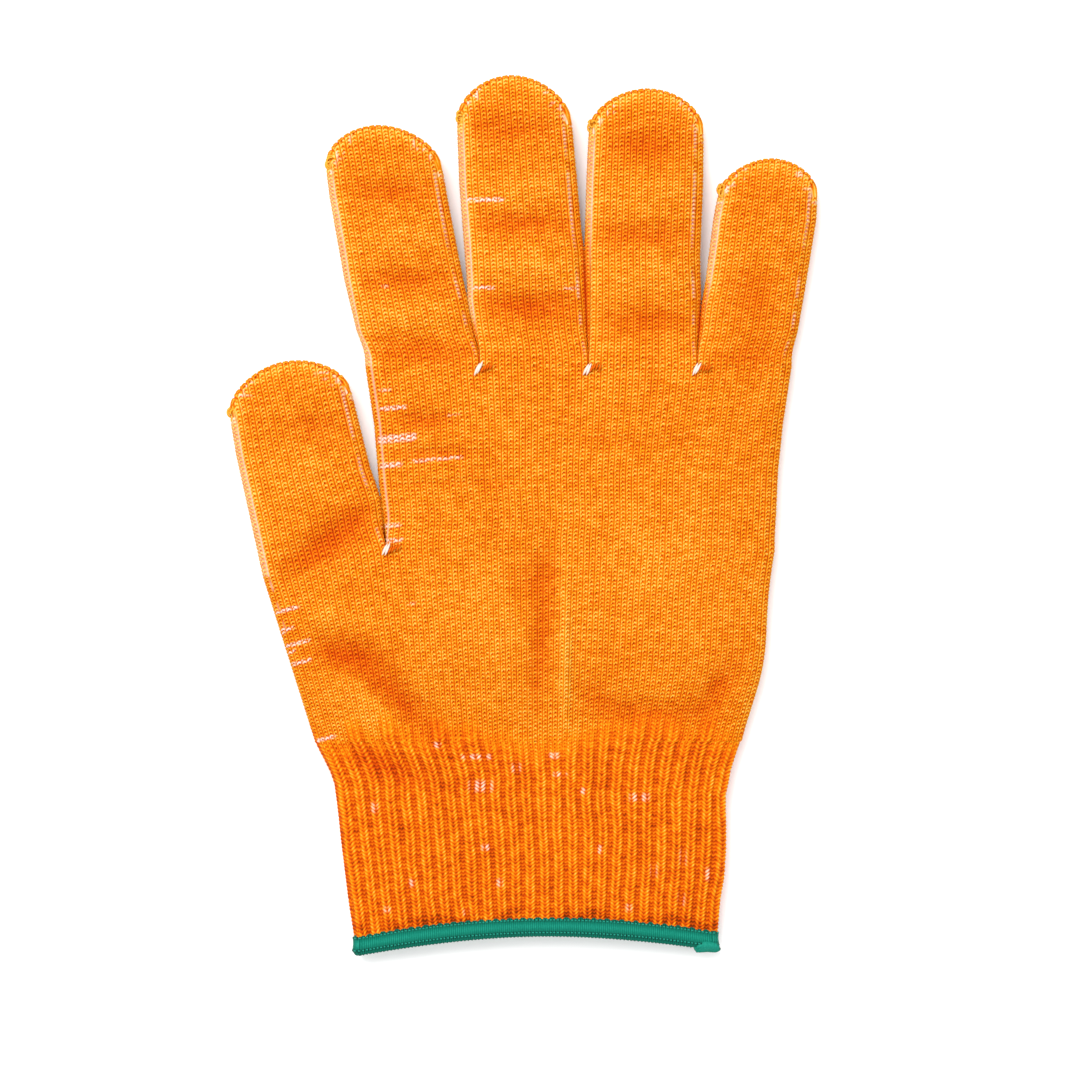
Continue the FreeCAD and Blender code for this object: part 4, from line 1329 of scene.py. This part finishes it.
class Body:
    """The palm, the heel with the ball of the thumb, and the ribbed cuff."""

    SEAM_WIDTH = 0.13
    SEAM_WHITE = 0.6

    def __init__(self, weave: Weave) -> None:
        """Remember how finely the knitting is drawn."""
        self.weave = weave

    def columns(self, wales: int) -> tuple[np.ndarray, np.ndarray, np.ndarray]:
        """Ring coordinates, levels and shares of a closed section."""
        s = np.arange(Ring(wales).total * self.weave.per_wale) / self.weave.per_wale
        share, level, _ = Ring(wales).split(s)
        return s, level, share

    def steps(self, top: float, bottom: float) -> tuple[int, int]:
        """Courses and grid rows between two heights."""
        courses = round((top - bottom) / COURSE)
        return courses, courses * self.weave.per_course + 1

    def palm_skin(self) -> Skin:
        """The four-finger part of the palm."""
        s, level, share = self.columns(SHAPE.palm_wales)
        _, rows = self.steps(KNUCKLE_Y, CROTCH[1])
        y = np.linspace(CROTCH[1], KNUCKLE_Y, rows)
        points = np.stack([SHAPE.palm(s, np.full_like(s, v), self.weave.inset) for v in y])
        level = np.broadcast_to(level, points.shape[:2])
        wale = np.broadcast_to(s, level.shape)
        course = np.broadcast_to(((y - KNUCKLE_Y) / COURSE)[:, None], level.shape)
        edge = edge_fade(share)[None, :]
        by_crotch = 1 - smooth((y - CROTCH[1]) / REACH)[:, None]
        fade = np.where(share < 0.5, np.maximum(edge, by_crotch), edge)
        by_fingers = smooth((y[:, None] - 30) / 6) * (edge > 0.2)
        points, rise = palm_wrinkles(points, level, np.maximum(fade, by_fingers))
        cloth = dress_grid(points, PLAIN.draw(wale, course), level, rise, self.weave)
        if self.weave.outside:
            seam = bell(Ring(SHAPE.palm_wales).from_left(wale), 0.0, self.SEAM_WIDTH)
            cloth = cloth._replace(white=over(cloth.white, seam * self.SEAM_WHITE))
        return self.pack(points, cloth)

    def lower(self, place: Callable[..., np.ndarray], top: float,
              bottom: float) -> tuple[np.ndarray, Cloth, np.ndarray, np.ndarray, np.ndarray]:
        """Points and cloth of the heel or the cuff.

        Args:
            place: Method of the body's shape that gives the points.
            top: Height where the part starts.
            bottom: Height where it ends.

        Returns:
            Points, what dresses them, the share of the way down of each row, and the column and
            row coordinates.
        """
        s, level, share = self.columns(SHAPE.wales)
        courses, rows = self.steps(top, bottom)
        t = np.linspace(1.0, 0.0, rows)
        points = np.stack([place(s, np.full_like(s, v), self.weave.inset) for v in t])
        level = np.broadcast_to(level, points.shape[:2])
        points, rise = palm_wrinkles(points, level, np.broadcast_to(edge_fade(share), level.shape))
        course = np.broadcast_to(-(t * courses)[:, None], level.shape)
        wale = np.broadcast_to(s, level.shape)
        cloth = dress_grid(points, self.look(wale, course, points[..., 1]), level, rise, self.weave)
        return points, cloth, t, wale, course

    def heel_skin(self) -> Skin:
        """The five-finger part below the crotch."""
        points, cloth, t, wale, course = self.lower(SHAPE.heel, CROTCH[1], WRIST_Y)
        if self.weave.outside:
            seam = bell(Ring(SHAPE.wales).from_left(wale), 0.0, self.SEAM_WIDTH) * self.SEAM_WHITE
            fading = smooth((0.55 - t) / 0.5)[:, None]
            broken = smooth(0.6 + 1.4 * lattice_noise(course, wale * 0, 3.0, 22))
            cloth = cloth._replace(white=over(cloth.white, seam * fading * broken))
        return self.pack(points, cloth)

    def cuff_skin(self) -> Skin:
        """The ribbed cuff, with painted shade in the rows where the hem pinches it."""
        points, cloth, t, wale, course = self.lower(SHAPE.cuff, WRIST_Y, MOUTH_Y)
        hem_painted_shade = smooth((t - 0.90) / 0.05)[:, None] * smooth(0.6 + lattice_noise(wale, course, 2.5, 42))
        return self.pack(points, cloth._replace(depth=cloth.depth - 0.20 * hem_painted_shade))

    @staticmethod
    def look(wale: np.ndarray, course: np.ndarray, y: np.ndarray) -> Stitches:
        """Plain knitting that turns into ribs at an uneven line above the wrist.

        Args:
            wale: Ring coordinate of each point.
            course: Row coordinate of each point.
            y: Height of each point.

        Returns:
            Stitches at each point.
        """
        rib = wale * RIBS / Ring(SHAPE.wales).total + 0.3
        line = RIB_START + 3.4 * lattice_noise(np.floor(rib), y * 0, 1.0, 41)
        return PLAIN.draw(wale, course).mixed(RIB.draw(rib, course), smooth((line - y) / 10.0))

    @staticmethod
    def pack(points: np.ndarray, cloth: Cloth) -> Skin:
        """Make a skin of a closed grid; the key of a face is its share of the way round."""
        rows, cols = cloth.lift.shape
        key = np.tile(np.arange(cols), rows - 1) / cols
        return Skin(points.reshape(-1, 3), ring_faces(rows, cols), *(part.ravel() for part in cloth), key)


def tube_bundle(parts: list[tuple[np.ndarray, np.ndarray]], around: int = 8) -> Skin:
    """Closed round threads along given middle lines.

    Args:
        parts: Pairs of points along a line and the radius at each.
        around: Points round each thread.

    Returns:
        One skin holding all the threads.
    """
    points, faces, depth = [], [], []
    base = 0
    angle = np.linspace(0, 2 * math.pi, around, endpoint=False)
    j = np.arange(around)
    k = (j + 1) % around
    for line, radius in parts:
        ahead = np.gradient(line, axis=0)
        ahead /= np.linalg.norm(ahead, axis=1, keepdims=True)
        side = np.cross(ahead, np.array([0.0, 0.0, 1.0]))
        side[np.linalg.norm(side, axis=1) < 1e-3] = np.array([1.0, 0.0, 0.0])
        side /= np.linalg.norm(side, axis=1, keepdims=True)
        up = np.cross(side, ahead)
        spokes = np.cos(angle)[None, :, None] * side[:, None, :]
        spokes = spokes + np.sin(angle)[None, :, None] * up[:, None, :]
        ring = line[:, None, :] + radius[:, None, None] * spokes
        m = len(line)
        start = np.full(around, m * around)
        last = (m - 1) * around
        points += [ring.reshape(-1, 3), line[[0, -1]]]
        # Painted light: each thread's tone is brighter on top and darker underneath.
        depth += [np.tile(0.55 + 0.4 * np.sin(angle), m), np.array([0.5, 0.5])]
        faces.append(ring_faces(m, around)[:, INWARD] + base)
        faces.append(np.stack([start, j, k, k], axis=-1) + base)
        faces.append(np.stack([start + 1, last + k, last + j, last + j], axis=-1) + base)
        base += m * around + 2
    all_points = np.concatenate(points)
    all_faces = np.concatenate(faces)
    zero = np.zeros(len(all_points))
    return Skin(all_points, all_faces, zero, np.concatenate(depth), zero.copy(), np.zeros(len(all_faces)))


@dataclass(frozen=True)
class Hem:
    """The green overlocked hem: a flat rolled band of thread with two stitched grooves, in mm."""

    steps: int = 2600
    around: int = 36
    half_width: float = 2.4
    half_height: float = 1.15
    inside: float = 0.35
    drop: float = HEM_DROP
    wrap_pitch: float = 0.5
    stitch_pitch: float = 0.85
    stitch_share: float = 0.62
    stitch_points: int = 7

    def path(self) -> tuple[np.ndarray, np.ndarray, np.ndarray]:
        """Middle line round the mouth, the outward direction across it and the length along it."""
        s = np.linspace(0, Ring(SHAPE.wales).total, self.steps, endpoint=False)
        p = SHAPE.cuff(s, np.full_like(s, 1.0), self.inside)
        ahead = np.roll(p, -1, axis=0) - np.roll(p, 1, axis=0)
        out = np.cross(ahead, np.array([0.0, 1.0, 0.0]))
        out /= np.linalg.norm(out, axis=1, keepdims=True)
        length = np.concatenate([[0], np.cumsum(np.linalg.norm(np.diff(p, axis=0), axis=1))])
        return p, out, length

    def band(self) -> Skin:
        """The rolled band of thread wraps."""
        p, out, length = self.path()
        angle = np.linspace(0, 2 * math.pi, self.around, endpoint=False)
        c = np.cos(angle)[None, :]
        d = np.sin(angle)[None, :]
        along = length[:, None]
        wide = (self.half_width + 0.08 * np.sin(along / 9.0)) * c
        high = self.half_height * np.sign(d) * np.abs(d) ** 0.8
        wraps = cycle(along / self.wrap_pitch + 0.15 * c)
        dots = cycle(along / self.stitch_pitch)
        ridge = bell(c, 0.12, 0.42)
        groove = (bell(c, 0.72, 0.09) + bell(c, -0.55, 0.10)) * (1.0 - 0.6 * dots)
        grid = p[:, None, :] + out[:, None, :] * high[..., None]
        grid[..., 1] += wide - self.drop - 0.15 * smooth((-c - 0.8) / 0.2) * dots
        lift = 0.05 * wraps + 0.25 * ridge - 0.25 * groove
        # Painted highlight on the wraps and the ridge, painted shade in the two grooves.
        depth = 0.32 + 0.32 * wraps + 0.32 * ridge - 0.55 * groove
        faces = ring_faces(self.steps, self.around, looped=True)[:, INWARD]
        white = np.zeros(lift.size)
        return Skin(grid.reshape(-1, 3), faces, lift.ravel(), depth.ravel(), white, np.zeros(len(faces)))

    def needle_line(self, share: float) -> Skin:
        """Short stitches that lie along the hem at one place across its width.

        Args:
            share: Place across the hem, from -1 at its free edge to 1 at the cuff.

        Returns:
            One skin holding all the stitches.
        """
        p, out, length = self.path()
        bow = np.sin(np.linspace(0, math.pi, self.stitch_points))
        bed = self.half_height * math.sqrt(1 - share**2) ** 0.8 - 0.12
        parts = []
        for k in range(int(length[-1] / self.stitch_pitch)):
            first = k * self.stitch_pitch
            at = np.linspace(first, first + self.stitch_pitch * self.stitch_share, self.stitch_points)
            centre = np.stack([np.interp(at, length, p[:, c]) for c in range(3)], axis=-1)
            face = np.stack([np.interp(at, length, out[:, c]) for c in range(3)], axis=-1)
            centre = centre + face * (bed + 0.14 * bow)[:, None]
            centre[:, 1] += 2.35 * share - self.drop
            parts.append((centre, 0.13 + 0.06 * bow))
        skin = tube_bundle(parts)
        skin.depth = skin.depth * 0.6 + 0.5
        return skin


class Glove:
    """Puts the whole glove together on the frame."""

    FOLD_COLUMNS = 30
    FOLD_REACH = 4.0
    ELASTIC_ROWS = 12

    def __init__(self) -> None:
        """Prepare the finishes."""
        self.finishes = Finishes()

    def thread(self, name: str, skin: Skin, body: str, slot: Slot, node: str = "") -> None:
        """Make a piece of a whole skin.

        Args:
            name: Name of the piece.
            skin: The skin.
            body: Body that the piece rides on.
            slot: Material slot.
            node: Node that the piece stands for, if it stands for one.
        """
        piece = MeshMaker.from_skin(name, skin)
        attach(piece, body)
        self.finishes.dress(piece, slot)
        if node:
            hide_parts(node)

    @staticmethod
    def halves(skin: Skin) -> tuple[tuple[str, np.ndarray], ...]:
        """Name and faces of the left and the right half of a ring."""
        right = (skin.key >= 0.25) & (skin.key < 0.75)
        return ("left", ~right), ("right", right)

    def digits(self) -> None:
        """Four fingers and the thumb, outside and lining."""
        for shape in DIGITS:
            for weave, suffix, slot in LAYERS:
                for piece in Digit(shape, weave).pieces(suffix):
                    self.finishes.dress(piece, slot)

    def palm(self) -> None:
        """The four-finger part of the palm, parted down the middle."""
        for weave, suffix, slot in LAYERS:
            skin = Body(weave).palm_skin()
            for half, mask in self.halves(skin):
                piece = MeshMaker.from_skin("palm_upper_%s_%s" % (suffix, half), skin, mask)
                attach(piece, "palm")
                self.finishes.dress(piece, slot)
                if half == "left":
                    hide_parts("palm_upper_" + suffix)

    def heel(self) -> None:
        """The heel: the part by the thumb, over the fold of the mound, is a piece of its own."""
        n = SHAPE.wales
        total = Ring(n).total
        for weave, suffix, slot in LAYERS:
            skin = Body(weave).heel_skin()
            s = skin.key * total
            near = (s < self.FOLD_COLUMNS) | (s >= 2 * n + WALL - self.FOLD_COLUMNS)
            mound = MeshMaker.from_skin("thumb_mound_%s_knit" % suffix, skin, near)
            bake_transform(mound)
            self.finishes.dress(mound, slot)
            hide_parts("thumb_mound_" + suffix)
            front = ~near & (s < n + WALL / 2)
            for part, mask in (("palm_side", front), ("back_side", ~near & ~front)):
                rest = MeshMaker.from_skin("palm_heel_%s_%s" % (suffix, part), skin, mask)
                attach(rest, "palm")
                self.finishes.dress(rest, slot)
                if part == "palm_side":
                    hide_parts("palm_heel_" + suffix)

    def cuff(self) -> None:
        """The cuff, in two halves."""
        for weave, suffix, slot in LAYERS:
            skin = Body(weave).cuff_skin()
            for half, mask in self.halves(skin):
                piece = MeshMaker.from_skin("cuff_rib_%s_%s" % (suffix, half), skin, mask)
                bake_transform(piece)
                self.finishes.dress(piece, slot)
                if half == "left":
                    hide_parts("cuff_rib_" + suffix)

    def elastic(self) -> None:
        """Elastic yarn rows between the cuff's face and lining."""
        s = np.linspace(0, Ring(SHAPE.wales).total, 300)
        radius = np.full(len(s), 0.11)
        lines = []
        for k in range(self.ELASTIC_ROWS):
            t = (10.8 + 2.4 * k) / (WRIST_Y - MOUTH_Y)
            lines.append((SHAPE.cuff(s, np.full_like(s, t), 1.05), radius))
        skin = tube_bundle(lines, 6)
        self.thread("cuff_elastic_rows_yarn", skin, "cuff", Slot.ELASTIC, "cuff_elastic_rows")

    def hem(self) -> None:
        """The green hem, its two stitched lines and its loose end."""
        hem = Hem()
        self.thread("hem_overlock_thread_yarn", hem.band(), "cuff", Slot.HEM, "hem_overlock_thread")
        needle = hem.needle_line(0.72)
        self.thread("hem_needle_stitches_yarn", needle, "cuff", Slot.HEM, "hem_needle_stitches")
        self.thread("hem_looper_line_yarn", hem.needle_line(-0.55), "cuff", Slot.HEM)
        self.tail()

    def tail(self) -> None:
        """Chained end of the hem thread at the right end of the mouth."""
        u = np.linspace(0, 1, 40)
        radius = np.sin(math.pi * np.clip(u, 0.04, 0.96)) ** 0.3
        parts = []
        for k in range(3):
            twist = 2 * math.pi * (u * 3 + k / 3)
            x = 38.5 + 4.6 * u + 0.6 * np.cos(twist)
            y = -104.2 + 0.9 * np.sin(u * 2.4 + 0.4) + 0.55 * np.sin(twist)
            z = 5.6 - 0.8 * u + 0.5 * np.sin(twist)
            parts.append((np.stack([x, y, z], axis=-1), radius))
        self.thread("hem_thread_tail_yarn", tube_bundle(parts), "cuff", Slot.HEM, "hem_thread_tail")

    def small_yarns(self) -> None:
        """Crossed stitches at the crotches and the yarn tails on the tips."""
        rng = np.random.RandomState(3)
        self.tacks(rng)
        for shape in DIGITS:
            self.tip_tail(shape, rng)

    def tacks(self, rng: np.random.RandomState) -> None:
        """At each crotch, two long white stitches with four small ones beside them."""
        parts = []
        whites = []
        u = np.linspace(-1, 1, 9)
        for x, y in (*((x, KNUCKLE_Y - 0.8) for x in SHAPE.crotches), CROTCH):
            for k in range(6):
                size, height, radius, white = (1.45, 0.3, 0.3, 0.9) if k < 2 else (0.85, 0.55, 0.22, -0.45)
                turn = math.radians(58 + 14 * rng.rand())
                size = size + 0.3 * rng.rand()
                middle_y = y + 0.1 * k + rng.uniform(-0.3, 0.3)
                line = np.stack([
                    x - 0.5 + 0.66 * k + size * u * math.cos(turn),
                    middle_y + size * u * math.sin(turn),
                    8.1 + height * (1 - u**2)], axis=-1)
                parts.append((line, radius * (1.15 - u**2)))
                whites.append(white)
        skin = tube_bundle(parts)
        skin.white = np.repeat(np.array(whites), len(skin.white) // len(whites))
        skin.depth = skin.depth * 0.6
        self.thread("crotch_tacks_yarn", skin, "palm", Slot.FACE, "crotch_tacks")

    def tip_tail(self, shape: DigitShape, rng: np.random.RandomState) -> None:
        """Small knot of yarn on the left shoulder of one tip."""
        left = float(BodyShape.edge(shape.left, np.array(shape.shoulder)))
        x, y, z = shape.to_world(np.array([left + 0.9, shape.shoulder + 1.6, shape.centre + 0.8]))
        u = np.linspace(0, 1, 12)
        parts = []
        for _ in range(6):
            phase = rng.uniform(0, 6.28)
            size = rng.uniform(0.55, 1.0)
            line = np.stack([
                x + size * np.cos(phase + 3.6 * u) + rng.uniform(-0.4, 0.4),
                y + size * 1.2 * np.sin(phase + 3.6 * u) + rng.uniform(-0.8, 0.8),
                z + 0.5 * np.sin(phase + 2 * u) + rng.uniform(-0.5, 0.9)], axis=-1)
            parts.append((line, np.full(len(u), 0.26)))
        skin = tube_bundle(parts)
        skin.depth = skin.depth * 0.9
        node = shape.name + "_tip_yarn_tail"
        self.thread(node + "_yarn", skin, shape.name + "_tip", Slot.FACE, node)


@dataclass(frozen=True)
class Lamp:
    """A square soft light that points at the glove, in metres and watts."""

    name: str
    place: tuple[float, float, float]
    power: float
    size: float = 1.0

    def build(self) -> None:
        """Hang the light."""
        light = bpy.data.lights.new(self.name, "AREA")
        light.size = self.size
        light.energy = self.power
        obj = bpy.data.objects.new(self.name, light)
        obj.location = self.place
        obj.rotation_euler = (-Vector(self.place)).to_track_quat("-Z", "Y").to_euler()
        bpy.context.scene.collection.objects.link(obj)


class Studio:
    """Camera, floor and light."""

    LAMPS = (Lamp("key", (-0.45, 0.72, 1.2), 20.0), Lamp("fill", (0.6, -0.6, 1.1), 4.0))
    SKY = 0.98
    TABLE = 1.5

    @staticmethod
    def table_material() -> bpy.types.Material:
        """White, barely uneven table top."""
        board = NodeBoard("white_table")
        stops = [(0.0, (0.96, 0.96, 0.96, 1)), (1.0, (0.98, 0.98, 0.98, 1))]
        tone = board.noise(3.0, sized=False)
        board.join(board.ramp(tone, stops), board.shader, "Base Color")
        board.shader.inputs["Roughness"].default_value = 0.9
        return board.material

    def table(self) -> None:
        """Flat table under the glove."""
        mesh = bpy.data.meshes.new("floor")
        r = self.TABLE
        mesh.from_pydata([(-r, -r, 0), (r, -r, 0), (r, r, 0), (-r, r, 0)], [], [(0, 1, 2, 3)])
        floor = bpy.data.objects.new("floor", mesh)
        bpy.context.scene.collection.objects.link(floor)
        floor.data.materials.append(self.table_material())

    def light(self) -> None:
        """Even sky with two soft lamps."""
        world = bpy.data.worlds.new("soft_sky")
        bpy.context.scene.world = world
        world.use_nodes = True
        sky = world.node_tree.nodes["Background"]
        sky.inputs["Color"].default_value = (1, 1, 1, 1)
        sky.inputs["Strength"].default_value = self.SKY
        for lamp in self.LAMPS:
            lamp.build()

    def camera(self) -> None:
        """Camera straight above the glove."""
        camera = bpy.data.cameras.new("camera")
        camera.lens = 166.67
        camera.sensor_width = 36.0
        camera.clip_end = 20.0
        obj = bpy.data.objects.new("camera", camera)
        obj.location = (0.0007, -0.0058, 1.206)
        bpy.context.scene.collection.objects.link(obj)
        bpy.context.scene.camera = obj

    def build(self) -> None:
        """Set up the whole studio."""
        scene = bpy.context.scene
        scene.view_settings.view_transform = "Standard"
        scene.view_settings.look = "None"
        self.table()
        self.light()
        self.camera()


def main() -> None:
    """Build the glove from the fingers to the hem."""
    logging.basicConfig(level=logging.INFO, format="%(message)s")
    glove = Glove()
    glove.digits()
    glove.palm()
    glove.heel()
    glove.cuff()
    glove.elastic()
    glove.hem()
    glove.small_yarns()
    Studio().build()


if __name__ == "__main__":
    main()
